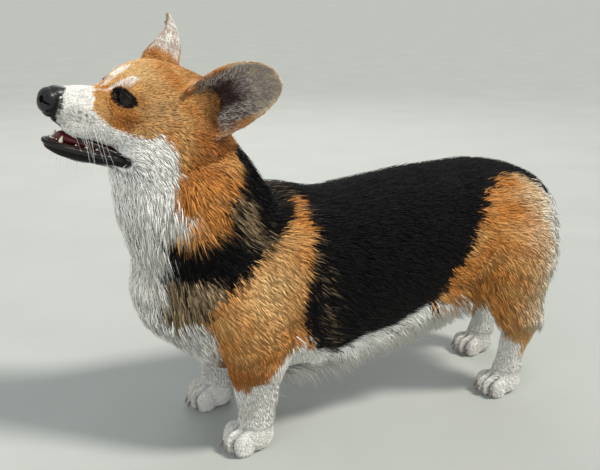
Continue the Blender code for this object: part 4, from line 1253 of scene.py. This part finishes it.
# Where the pieces of the coat meet
MUZZLE_START = 0.024  # in the head's frame
LEG_TOP, LEG_INSIDE = 0.100, 0.026
NECK_BACK, THIGH_FRONT = -0.150, 0.105
BELLY_TOP, BELLY_MARGIN = 0.160, 0.004
FRINGE_HALF, FRINGE_FRONT, FRINGE_BACK = 0.035, -0.010, 0.090
# Where the rings of a tuft stand along it, how high over the skin as a share of its tip, and how wide
TUFT_STOPS = {1: (0.42,), 2: (0.34, 0.80)}
TUFT_HEIGHTS = {1: (0.78,), 2: (0.66, 0.98)}
TUFT_NARROWS = (1.0, 0.82)
TUFT_THICKNESS = 0.28
ROOT_DEPTH = 0.0006
FLOOR_GAP = 0.0006
CLUMP_STEP = 16  # one tuft in so many leads a clump
MAP_FACES = 3000  # faces of the thinned skin that the coat's maps are unwrapped on
PATCH = 0.003  # size of a tuft's own patch on its map


def unwrap(points, triangles, name):
    """Unwraps a part of the skin by its own shape: a thinned copy, and the map of each of its corners."""
    used, faces = np.unique(triangles, return_inverse=True)
    data = bpy.data.meshes.new(name)
    data.from_pydata(points[used].tolist(), [], faces.reshape(-1, 3).tolist())
    obj = add_object(name, data)
    thin = obj.modifiers.new("Thin", "DECIMATE")
    thin.ratio = min(1.0, MAP_FACES / max(len(triangles), 1))
    apply_modifiers(obj)
    bpy.context.view_layer.objects.active = obj
    obj.select_set(True)
    obj.data.uv_layers.new(name="OFBake")
    bpy.ops.object.mode_set(mode="EDIT")
    bpy.ops.mesh.select_all(action="SELECT")
    bpy.ops.uv.smart_project(angle_limit=math.radians(66), island_margin=0.004)
    bpy.ops.object.mode_set(mode="OBJECT")
    corners = rows_of(obj.data.uv_layers["OFBake"].data, "uv", 2)
    loops = rows_of(obj.data.loops, "vertex_index", 1, np.int32)[:, 0]
    starts = [polygon.loop_start for polygon in obj.data.polygons]
    found = points_of(obj.data)
    tree = BVHTree.FromPolygons(found.tolist(), [list(p.vertices) for p in obj.data.polygons])
    maps = [(found[loops[s : s + 3]], corners[s : s + 3]) for s in starts]
    remove(obj)
    return tree, maps


def map_roots(roots, tree, maps):
    """The place of each root on the unwrapped skin."""
    found = np.empty((len(roots), 2))
    for i, root in enumerate(roots):
        spot, _, index, _ = tree.find_nearest(Vector(root))
        corners, uv = maps[index]
        a, b, c = corners
        spot = np.array(spot)
        v0, v1, v2 = b - a, c - a, spot - a
        d00, d01, d11, d20, d21 = v0 @ v0, v0 @ v1, v1 @ v1, v2 @ v0, v2 @ v1
        below = d00 * d11 - d01 * d01
        v = (d11 * d20 - d01 * d21) / below if below > 1e-18 else 0.0
        w = (d00 * d21 - d01 * d20) / below if below > 1e-18 else 0.0
        found[i] = uv[0] * (1 - v - w) + uv[1] * v + uv[2] * w
    return found


def tuft_mesh(name, rings, tips, roots, colours, place_on_map):
    """Joins tufts into one mesh. Each is a closed blade: a root, rings of three points and a tip.

    `rings` is (ring, tuft, corner, xyz). `colours` has a row of colours for the root, each ring and the tip.
    """
    count = len(roots)
    levels = len(rings)
    per = 3 * levels + 2
    points = np.empty((count, per, 3), np.float32)
    points[:, 0] = roots
    for k, ring in enumerate(rings):
        points[:, 1 + 3 * k : 4 + 3 * k] = ring
    points[:, -1] = tips
    faces = [(0, 1 + (i + 1) % 3, 1 + i) for i in range(3)]
    for k in range(levels - 1):
        low, high = 1 + 3 * k, 4 + 3 * k
        for i in range(3):
            j = (i + 1) % 3
            faces += [(low + i, low + j, high + j), (low + i, high + j, high + i)]
    last = 1 + 3 * (levels - 1)
    faces += [(last + i, last + (i + 1) % 3, per - 1) for i in range(3)]
    faces = np.array(faces, np.int32)
    index = (faces[None] + (np.arange(count) * per)[:, None, None]).reshape(-1)
    data = bpy.data.meshes.new(name)
    data.vertices.add(count * per)
    data.vertices.foreach_set("co", points.ravel())
    data.loops.add(len(index))
    data.loops.foreach_set("vertex_index", index.astype(np.int32))
    faces_in_all = count * len(faces)
    data.polygons.add(faces_in_all)
    data.polygons.foreach_set("loop_start", np.arange(faces_in_all, dtype=np.int32) * 3)
    data.polygons.foreach_set("use_smooth", np.ones(faces_in_all, bool))
    data.update(calc_edges=True)

    level_of = np.array([0] + [1 + k for k in range(levels) for _ in range(3)] + [levels + 1])
    paint(data, np.stack([colours[level] for level in level_of], 1).reshape(-1, 3))
    across = np.array([0.5] + [0.1, 0.9, 0.5] * levels + [0.5])
    along = level_of / (levels + 1)
    on_map = (place_on_map[:, None] + (np.stack([across, along], 1)[None] - 0.5) * PATCH).reshape(-1, 2)
    on_map = np.clip(on_map, 0.0, 1.0)
    layer = data.uv_layers.new(name="OFBake")
    layer.data.foreach_set("uv", on_map[index].astype(np.float32).ravel())
    return add_object(name, data)


class Skin:
    """The skin as arrays, for rooting tufts in it."""

    def __init__(self, obj, reader):
        self.points = points_of(obj.data)
        self.normals = normals_of(obj.data)
        self.triangles = triangles_of(obj.data)
        self.ears = reader.read(self.points, self.normals)
        corners = self.points[self.triangles]
        crossed = np.cross(corners[:, 1] - corners[:, 0], corners[:, 2] - corners[:, 0])
        areas = np.linalg.norm(crossed, axis=1) / 2
        self.middles = corners.mean(axis=1)
        self.facings = unit(self.normals[self.triangles].mean(axis=1))
        length, width = coat_values(zones(self.points, self.normals, self.ears))[:2]
        cover = 2 / (length * width) * (1 - bare_share(self.points))
        self.need = cover[self.triangles].mean(axis=1) * areas
        self.ear_share = self.ears[0][self.triangles].mean(axis=1)
        self.tree = BVHTree.FromPolygons(self.points.tolist(), self.triangles.tolist())


def hug(tree, points, heights, amount):
    """Moves points to the given heights over the skin, by the share `amount`."""
    found = np.array(points)
    for i, point in enumerate(points):
        spot, normal, _, _ = tree.find_nearest(Vector(point))
        found[i] = spot + normal * heights[i]
    return points + (found - points) * amount[:, None]


def scatter(skin, faces, count, draw):
    """Spreads `count` roots over faces of the skin by their need: (corners, weights of the corners)."""
    need = skin.need[faces]
    marks = (np.arange(count) + draw.uniform(0, 1, count)) / count * need.sum()
    picked = faces[np.minimum(np.searchsorted(np.cumsum(need), marks), len(faces) - 1)]
    u, v = draw.uniform(0, 1, (2, count))
    flip = u + v > 1
    u, v = np.where(flip, 1 - u, u), np.where(flip, 1 - v, v)
    return skin.triangles[picked], np.stack([1 - u - v, u, v], 1)[:, :, None]


def clumps(roots, size):
    """The clump of each root, and how strongly the clump draws it."""
    centres = roots[::CLUMP_STEP]
    tree = KDTree(len(centres))
    for i, centre in enumerate(centres):
        tree.insert(centre, i)
    tree.balance()
    nearest = np.array([tree.find(root)[1] for root in roots])
    gap = np.linalg.norm(centres[nearest] - roots, axis=1)
    return nearest, 0.50 * smoothstep(1.6, 0.3, gap / size)


def grow(name, skin, chosen, count, seed, levels=1):
    """Covers the chosen triangles of the skin with `count` tufts, densest where they are small."""
    draw = np.random.default_rng(seed)
    faces = np.nonzero(chosen)[0]
    corner, weights = scatter(skin, faces, count, draw)
    roots = (skin.points[corner] * weights).sum(axis=1)
    normals = unit((skin.normals[corner] * weights).sum(axis=1))
    ears = [(values[corner] * weights[:, :, 0]).sum(axis=1) for values in skin.ears]
    found = zones(roots, normals, ears)
    length, width, depth, droop, clump = coat_values(found)

    lie = lie_field(roots, normals, found, ears)
    flat = lie - normals * (lie * normals).sum(axis=1)[:, None]
    lie = unit(mix(unit(flat), unit(lie), droop))
    across = unit(np.cross(lie, normals))
    sway = 0.16 * ripple(roots, 0.020, 51) + draw.normal(0, 0.10, count)
    lie = unit(lie + across * sway[:, None])
    length = length * draw.uniform(0.72, 1.18, count) * (1 - 0.6 * toe_gap(roots))
    longer = smoothstep(-0.02, -0.09, roots[:, 0]) * smoothstep(0.3, 0.6, droop)
    length = length * (1 + 0.40 * longer)
    width = width * draw.uniform(0.75, 1.25, count)
    rise = depth * (draw.uniform(0.75, 1.15, count) + 0.5 * (draw.uniform(0, 1, count) > 0.93))
    hang = 1 - np.clip(droop * 2.0, 0, 0.85)

    tips = hug(skin.tree, roots + lie * length[:, None], rise, hang)
    middles = []
    for stop, height in zip(TUFT_STOPS[levels], TUFT_HEIGHTS[levels]):
        straight = roots + lie * (length * stop)[:, None]
        middles.append(hug(skin.tree, straight, rise * height, np.maximum(hang, 0.6)))

    # Neighbouring tufts lean together into clumps.
    nearest, pull = clumps(roots, clump)
    pull = pull * draw.uniform(0.5, 1.0, count)
    tips = mix(tips, tips[::CLUMP_STEP][nearest], pull)
    if levels == 2:
        middles[-1] = mix(middles[-1], middles[-1][::CLUMP_STEP][nearest], pull * 0.5)
    tips[:, 2] = np.maximum(tips[:, 2], FLOOR_GAP)

    rings = []
    for middle, narrow in zip(middles, TUFT_NARROWS):
        half = across * (width * 0.5 * narrow)[:, None]
        lift = normals * (width * TUFT_THICKNESS * narrow)[:, None]
        middle[:, 2] = np.maximum(middle[:, 2], FLOOR_GAP)
        rings.append(np.stack([middle - half, middle + half, middle + lift], 1))

    root_colour, tip_colour = coat_colour(roots, normals, ears, draw.uniform(0, 1, count))
    uneven = (0.10 * draw.normal(0, 1, count) + 0.07 * ripple(roots, 0.010, 52))[:, None]
    paleness = smoothstep(0.3, 0.7, root_colour.mean(axis=1, keepdims=True))
    shade = np.clip(1 + uneven * (1 - 0.6 * paleness), 0.7, 1.4)
    # Painted shade darkens each tuft at its root and a little along its middle, and the tip is a little
    # lighter.
    colours = [painted_root_shade(root_colour) * shade]
    for k in range(levels):
        share = np.full(count, (k + 1) / (levels + 1))
        colours.append(mix(root_colour, tip_colour, share) * shade * 0.95)
    colours.append(tip_colour * shade * 1.04)

    tree, maps = unwrap(skin.points, skin.triangles[faces], name + "_map")
    on_map = map_roots(roots, tree, maps)
    obj = tuft_mesh(name, rings, tips, roots - normals * ROOT_DEPTH, colours, on_map)
    return place(obj)


def make_coat(skin_object, reader):
    """Divides the skin's triangles by their middles, and grows a piece of coat on each part."""
    skin = Skin(skin_object, reader)
    x, y, z = skin.middles.T
    above = above_neck(skin.middles)
    left = y < 0
    ear = skin.ear_share > 0.5
    head = (above > 0) & ~ear
    muzzle = head & (to_head(skin.middles)[:, 0] > MUZZLE_START)
    skull = head & ~muzzle
    body = (above <= 0) & ~ear
    leg = body & (z < LEG_TOP) & (np.abs(y) > LEG_INSIDE)
    neck = body & ~leg & (x < NECK_BACK)
    rest = body & ~leg & ~neck
    belly = rest & (skin.facings[:, 2] < -0.05) & (z < BELLY_TOP)
    belly = belly & (edge_distance(x, z, SADDLE) < -BELLY_MARGIN)
    edge = ((np.abs(y) > FRINGE_HALF) | (x < FRINGE_FRONT)) & (x < FRINGE_BACK)
    thigh = rest & ~belly & (x > THIGH_FRONT)
    trunk = rest & ~belly & ~thigh
    look = fur("coat", 0.55, 0.12, 2, 0.88, 1.12, 0.10, 0.0002)
    for name, chosen, count, seed, slot, levels in (
        ("coat_muzzle", muzzle, 13000, 101, "coat_white", 1),
        ("coat_head_left", skull & left, 14000, 102, "coat_tan", 1),
        ("coat_head_right", skull & ~left, 14000, 103, "coat_tan", 1),
        ("coat_ears", ear, 12500, 104, "ear_coat", 1),
        ("coat_neck_left", neck & left, 27000, 105, "coat_white", 1),
        ("coat_neck_right", neck & ~left, 27000, 106, "coat_white", 1),
        ("coat_back_left", trunk & left, 23500, 107, "coat_black", 1),
        ("coat_back_right", trunk & ~left, 23500, 108, "coat_black", 1),
        ("coat_fringe", belly & edge, 16500, 109, "coat_white", 2),
        ("coat_belly", belly & ~edge, 3500, 114, "coat_white", 1),
        ("coat_thigh_left", thigh & left, 16500, 110, "coat_tan", 1),
        ("coat_thigh_right", thigh & ~left, 16500, 111, "coat_tan", 1),
        ("coat_forelegs", leg & (x < 0), 15500, 112, "coat_white", 1),
        ("coat_hindlegs", leg & (x > 0), 12500, 113, "coat_white", 1),
    ):
        grow(name, skin, chosen, count, seed, levels).data.materials.append(look)


# Eyes, nose, mouth and claws


def make_eyes():
    gloss = eye_material()
    for side, letter in ((1, "L"), (-1, "R")):
        mesh = bmesh.new()
        turn = Euler((0, math.pi / 2, 0)).to_matrix().to_4x4()
        bmesh.ops.create_uvsphere(mesh, u_segments=40, v_segments=28, radius=EYE_RADIUS, matrix=turn)
        obj = finish_mesh(mesh, f"eyeball_{letter}")
        points = points_of(obj.data)
        angle = np.arccos(np.clip(points[:, 0] / EYE_RADIUS, -1, 1))
        bulge = 1 + 0.085 * smoothstep(0.62, 0.0, angle)
        set_points(obj.data, points * bulge[:, None])
        gaze = obj.data.attributes.new("Gaze", "FLOAT", "POINT")
        gaze.data.foreach_set("value", (angle / math.pi * 2).astype(np.float32))
        obj.data.transform(eye_frame(side))
        obj.data.materials.append(gloss)
        place(obj, [f"eye_{letter}"])


def tube(name, path, radii, sides=10, closed=False, flat=1.0, upward=(0, 0, 1)):
    """A tube along points, with its own radius at each. `flat` squeezes it along `upward`."""
    path = [Vector(p) for p in path]
    count = len(path)
    mesh = bmesh.new()
    rings = []
    for i, (point, radius) in enumerate(zip(path, radii)):
        before = path[(i - 1) % count] if closed else path[max(i - 1, 0)]
        after = path[(i + 1) % count] if closed else path[min(i + 1, count - 1)]
        along = (after - before).normalized()
        across = along.cross(Vector(upward)).normalized()
        over = across.cross(along)
        rings.append(ring_of(point, across, over, radius, radius * flat, radius * flat, 2, sides))
    skin_rings(mesh, rings, closed)
    return finish_mesh(mesh, name)


def make_lids():
    """A rim round each eye, thicker above, drawn out to a point at the inner corner."""
    rims = []
    reach = EYE_RADIUS + 0.0004
    count = 48
    for side in (-1, 1):
        path, radii = [], []
        for i in range(count):
            turn = math.tau * i / count
            y, z = math.cos(turn), math.sin(turn)
            inner = max(0.0, -y * side)
            out_y = y * EYE_OPENING[0] * (1 + 0.16 * inner ** 4)
            out_z = z * EYE_OPENING[1] * (1.0 if z > 0 else 0.92) - 0.0006 * inner ** 3
            x = math.sqrt(max(reach * reach - out_y * out_y - out_z * out_z, 1e-8))
            path.append(eye_frame(side) @ Vector((x, out_y, out_z)))
            radii.append(0.00078 + 0.00045 * max(z, 0) - 0.0003 * abs(y) ** 6)
        rims.append(tube("rim", path, radii, 10, closed=True, upward=HEAD_TURN @ np.array((1.0, 0, 0))))
    obj = joined("eyelids", rims)
    look = painted("lid", (0.006, 0.005, 0.005), 0.5, 900, 0.6, 1.3, 0.4, specular=0.25)
    obj.data.materials.append(look)
    place(obj)


def make_nose():
    parts = [
        ball("tip", (0.0760, 0, -0.0100), (0.0108, 0.0134, 0.0108), at=HEAD),
        ball("front", (0.0790, 0, -0.0120), (0.0078, 0.0118, 0.0118), at=HEAD),
        ball("top", (0.0705, 0, -0.0050), (0.0140, 0.0116, 0.0084), (0, 0.30, 0), HEAD),
        ball("lip", (0.0745, 0, -0.0185), (0.0078, 0.0070, 0.0095), (0, 0.35, 0), HEAD),
    ]
    for side in (-1, 1):
        parts.append(ball("wing", (0.0770, side * 0.0080, -0.0105), (0.0078, 0.0060, 0.0088), at=HEAD))
    leather = fused("nose_pad", parts, 0.0006, 6)
    for side in (-1, 1):
        nostril = (0.0855, side * 0.0066, -0.0105), (0.0056, 0.0034, 0.0034), (0, 0, side * 0.5)
        slit = (0.0825, side * 0.0110, -0.0122), (0.0056, 0.0048, 0.0012), (side * -0.3, 0, 0)
        for form in (nostril, slit):
            cut(leather, ball("hollow", *form, HEAD))
    cut(leather, ball("groove", (0.0900, 0, -0.0165), (0.0060, 0.0006, 0.0095), (0, 0.25, 0), HEAD))
    leather.data.shade_smooth()
    leather.data.materials.append(nose_material())
    place(leather, ["nose"])


# The edges of the lips from the left corner of the mouth to the middle, in the head's frame
LOWER_EDGE = [
    (-0.003, 0.0325, -0.0500),
    (0.012, 0.0272, -0.0515),
    (0.030, 0.0222, -0.0518),
    (0.046, 0.0180, -0.0515),
    (0.058, 0.0146, -0.0508),
    (0.066, 0.0110, -0.0502),
    (0.0715, 0.0055, -0.0498),
    (0.0732, 0, -0.0497),
]
UPPER_EDGE = [
    (-0.004, 0.0330, -0.0486),
    (0.012, 0.0268, -0.0468),
    (0.030, 0.0232, -0.0430),
    (0.046, 0.0202, -0.0398),
    (0.058, 0.0160, -0.0345),
    (0.0655, 0.0105, -0.0300),
    (0.0690, 0.0040, -0.0285),
    (0.0695, 0, -0.0282),
]


def both_sides(edge, count):
    """A smooth line along an edge and back along its mirror image, in the head's frame."""
    rows = edge + [(x, -y, z) for x, y, z in edge[-2::-1]]
    return smooth_rows([(*row, 0, 0, 0) for row in rows], count)[:, :3]


def jaw_path(count, inset, z_shift):
    """Points round the lower jaw's edge, from one corner of the mouth to the other."""
    shrink = 1 - inset / 0.03
    found = []
    for x, y, z in both_sides(LOWER_EDGE, count):
        found.append(HEAD @ Vector((x - inset * max(0.0, (x - 0.05) / 0.02), y * shrink, z + z_shift)))
    return found


def make_lips():
    look = painted("lip", (0.0055, 0.005, 0.0052), 0.36, 500, 0.6, 1.5, 0.5, specular=0.35, coat=0.12)
    count = 90
    radii = [0.0021 + 0.0004 * math.sin(i * 2.1) * (abs(i - count // 2) > 22) for i in range(count)]
    radii[0] = radii[-1] = 0.0012
    lower = tube("lower_lip", jaw_path(count, 0.0, -0.0012), radii, 12, flat=1.25)
    lower.data.materials.append(look)
    place(lower, ["lower_jaw"])

    count = 70
    path = [HEAD @ Vector(row) for row in both_sides(UPPER_EDGE, count)]
    upper = tube("upper_lip", path, [0.0013] * count, 8, flat=1.4)
    upper.data.materials.append(look)
    place(upper)


def make_gum():
    count = 60
    gum = tube("gum", jaw_path(count, 0.0045, 0.0010), [0.0026] * count, 10, flat=0.9)
    gum.data.materials.append(painted("gum", (0.050, 0.011, 0.012), 0.30, 400, 0.5, 1.3, 0.3, coat=0.4))
    place(gum)


def make_tongue():
    tongue = limb("tongue_flesh", ARCHED_TONGUE, up=(0, 0, 1), sides=32, rings=40, at=HEAD)
    points = points_of(tongue.data)
    h = to_head(points)
    groove = bell(h[:, 1], 0, 0.0022) * smoothstep(-0.048, -0.044, h[:, 2])
    points = points - (HEAD_TURN @ np.array((0, 0, 1.0))) * (0.0010 * groove)[:, None]
    set_points(tongue.data, points)
    look = painted("tongue", (0.105, 0.014, 0.017), 0.40, 1500, 0.75, 1.2, 0.6, coat=0.2)
    tongue.data.materials.append(look)
    place(tongue, ["tongue"])


def make_teeth():
    """The lower canines, the premolars behind them and the incisors between them."""
    teeth = []
    for side in (-1, 1):
        rows = [
            (0.0590, side * 0.0096, -0.0530, 0.0026, 0.0030, 0.0030),
            (0.0602, side * 0.0103, -0.0480, 0.0021, 0.0025, 0.0025),
            (0.0603, side * 0.0110, -0.0440, 0.0012, 0.0014, 0.0014),
            (0.0598, side * 0.0113, -0.0415, 0.0004, 0.0004, 0.0004),
        ]
        teeth.append(limb("canine", rows, up=(1, 0, 0), sides=14, rings=12, at=HEAD))
        for i in range(4):
            x = 0.046 - 0.010 * i
            y = side * (0.0140 + 0.0022 * i)
            teeth.append(ball("premolar", (x, y, -0.0510), (0.0034, 0.0015, 0.0032), at=HEAD, segments=14))
            teeth.append(ball("cusp", (x, y, -0.0490), (0.0013, 0.0010, 0.0022), at=HEAD, segments=10))
    for i in range(6):
        across = (i - 2.5) / 2.5
        spot = (0.0662 - 0.0030 * across * across, across * 0.0064, -0.0485)
        teeth.append(ball("incisor", spot, (0.0013, 0.0012, 0.0030), (0, 0.12, 0), HEAD, 14))
    obj = joined("teeth", teeth)
    obj.data.materials.append(painted("enamel", (0.74, 0.66, 0.50), 0.22, 300, 0.85, 1.08, 0.1, coat=0.3))
    place(obj)


# Along a claw: (how far ahead and how high as shares of the paw, how far outwards, half width, up and down)
CLAW = [
    (0.140, 0.36, 0.0000, 0.0017, 0.0020, 0.0020),
    (0.200, 0.32, 0.0008, 0.0016, 0.0019, 0.0018),
    (0.245, 0.22, 0.0014, 0.0012, 0.0014, 0.0013),
    (0.270, 0.12, 0.0018, 0.0005, 0.0006, 0.0005),
]


def make_claws():
    claws = []
    for places, size in ((FORE_PAW, FORE_PAW_SIZE), (HIND_PAW, HIND_PAW_SIZE)):
        length, _, height = size
        for x, y in places.values():
            for across, toe in toes(x, y, *size):
                rows = []
                for ahead, high, outwards, *section in CLAW:
                    spot = (toe[0] - length * ahead, toe[1] + across * outwards, height * high)
                    rows.append((*spot, *section))
                claws.append(limb("claw", rows, up=(0, 0, 1), sides=12, rings=10))
    obj = joined("claws", claws)
    points = points_of(obj.data)
    points[:, 2] = np.maximum(points[:, 2], 0.0008)
    set_points(obj.data, points)
    obj.data.materials.append(painted("claw", (0.24, 0.19, 0.155), 0.32, 200, 0.55, 1.25, 0.15, coat=0.2))
    place(obj)


def make_whiskers():
    """White whiskers from the rows of the muzzle's pads, and a few over the eyes and under the chin."""
    draw = np.random.default_rng(71)
    bend = np.array((-0.25, 0, -0.45))
    hairs = []
    for side in (-1, 1):
        roots = [root for i, root in enumerate(whisker_roots()) if i % 3 != 1]
        roots += [((0.006 + 0.003 * i, 0.024, 0.023), (-0.4, 0.4, 0.7), 0.016) for i in range(3)]
        roots += [((0.040 + 0.01 * i, 0.008, -0.064), (0.0, 0.3, -1.0), 0.012) for i in range(3)]
        for (x, y, z), aim, length in roots:
            length *= draw.uniform(0.8, 1.2)
            start = np.array((x, y * side, z))
            aim = np.array((aim[0], aim[1] * side, aim[2])) + draw.normal(0, 0.12, 3)
            aim /= np.linalg.norm(aim)
            path = []
            for t in np.linspace(0, 1, 7):
                path.append(HEAD @ Vector(start + aim * length * t + bend * length * t * t * 0.6))
            hairs.append(tube("hair", path, np.linspace(0.00020, 0.00004, 7), 4, upward=(0.3, 0.2, 1)))
    obj = joined("whiskers", hairs)
    obj.data.materials.append(painted("whisker", (0.80, 0.79, 0.76), 0.35, 500, 0.85, 1.0, 0.1))
    place(obj)


# Floor, light and camera

CAMERA_PLACE = (-0.4404, -0.8500, 0.5001)
CAMERA_TARGET = (-0.0690, 0.0, 0.2165)
CAMERA_ROLL = math.radians(0.3)
CAMERA_LENS = 51.6
CAMERA_SENSOR = 36

FLOOR_HALF = 60
FLOOR_COLOUR = (0.40, 0.42, 0.40)
SKY_COLOUR, SKY_STRENGTH = (0.92, 0.95, 0.98, 1), 0.54
LAMP_TARGET = Vector((0, 0, 0.2))
# Lamps: (name, kind, place, angle or size, power, colour)
LAMPS = [
    ("key", "SUN", (0.70, -0.60, 1.30), 0.20, 3.3, (1.0, 0.96, 0.88)),
    ("fill", "AREA", (-1.4, -1.6, 1.0), 1.8, 22, (0.95, 0.98, 1.0)),
    ("rim", "AREA", (0.6, 1.8, 1.5), 1.2, 14, (1.0, 0.98, 0.95)),
]


def make_floor():
    mesh = bmesh.new()
    bmesh.ops.create_grid(mesh, x_segments=2, y_segments=2, size=FLOOR_HALF)
    floor = finish_mesh(mesh, "floor")
    look = painted("floor", FLOOR_COLOUR, 0.85, 6, 0.97, 1.03, detail=6, specular=0.2)
    floor.data.materials.append(look)


def make_lights():
    world = bpy.context.scene.world or bpy.data.worlds.new("World")
    bpy.context.scene.world = world
    world.use_nodes = True
    sky = world.node_tree.nodes["Background"]
    sky.inputs["Color"].default_value = SKY_COLOUR
    sky.inputs["Strength"].default_value = SKY_STRENGTH
    bpy.context.scene.view_settings.view_transform = "Standard"
    for name, kind, spot, size, power, colour in LAMPS:
        data = bpy.data.lights.new(name, kind)
        data.energy = power
        data.color = colour
        if kind == "SUN":
            data.angle = size
        else:
            data.size = size
        lamp = add_object(name, data)
        lamp.location = spot
        lamp.rotation_mode = "QUATERNION"
        lamp.rotation_quaternion = (LAMP_TARGET - Vector(spot)).to_track_quat("-Z", "Y")
        lamp.visible_glossy = name != "fill"


def make_camera():
    data = bpy.data.cameras.new("camera")
    data.lens = CAMERA_LENS
    data.sensor_width = CAMERA_SENSOR
    camera = add_object("camera", data)
    aim = Vector(CAMERA_TARGET) - Vector(CAMERA_PLACE)
    turn = aim.to_track_quat("-Z", "Y").to_matrix().to_4x4() @ Matrix.Rotation(CAMERA_ROLL, 4, "Z")
    camera.matrix_world = Matrix.Translation(Vector(CAMERA_PLACE) + OFFSET) @ turn
    bpy.context.scene.camera = camera


FLESH = [
    "head", "ear_L", "ear_R", "neck", "torso", "tail", "foreleg_L", "foreleg_R", "forepaw_L", "forepaw_R",
    "thigh_L", "thigh_R", "hock_L", "hock_R", "hindpaw_L", "hindpaw_R",
]


def main():
    skin, reader = make_skin()
    paint_skin(skin, reader)
    make_coat(skin, reader)
    skin.data.materials.append(fur("skin", 0.72, 0.3, 5, 0.75, 1.08, 0.6, 0.0006))
    place(skin, FLESH)
    make_eyes()
    make_lids()
    make_nose()
    make_lips()
    make_gum()
    make_tongue()
    make_teeth()
    make_claws()
    make_whiskers()
    make_floor()
    make_lights()
    make_camera()


main()
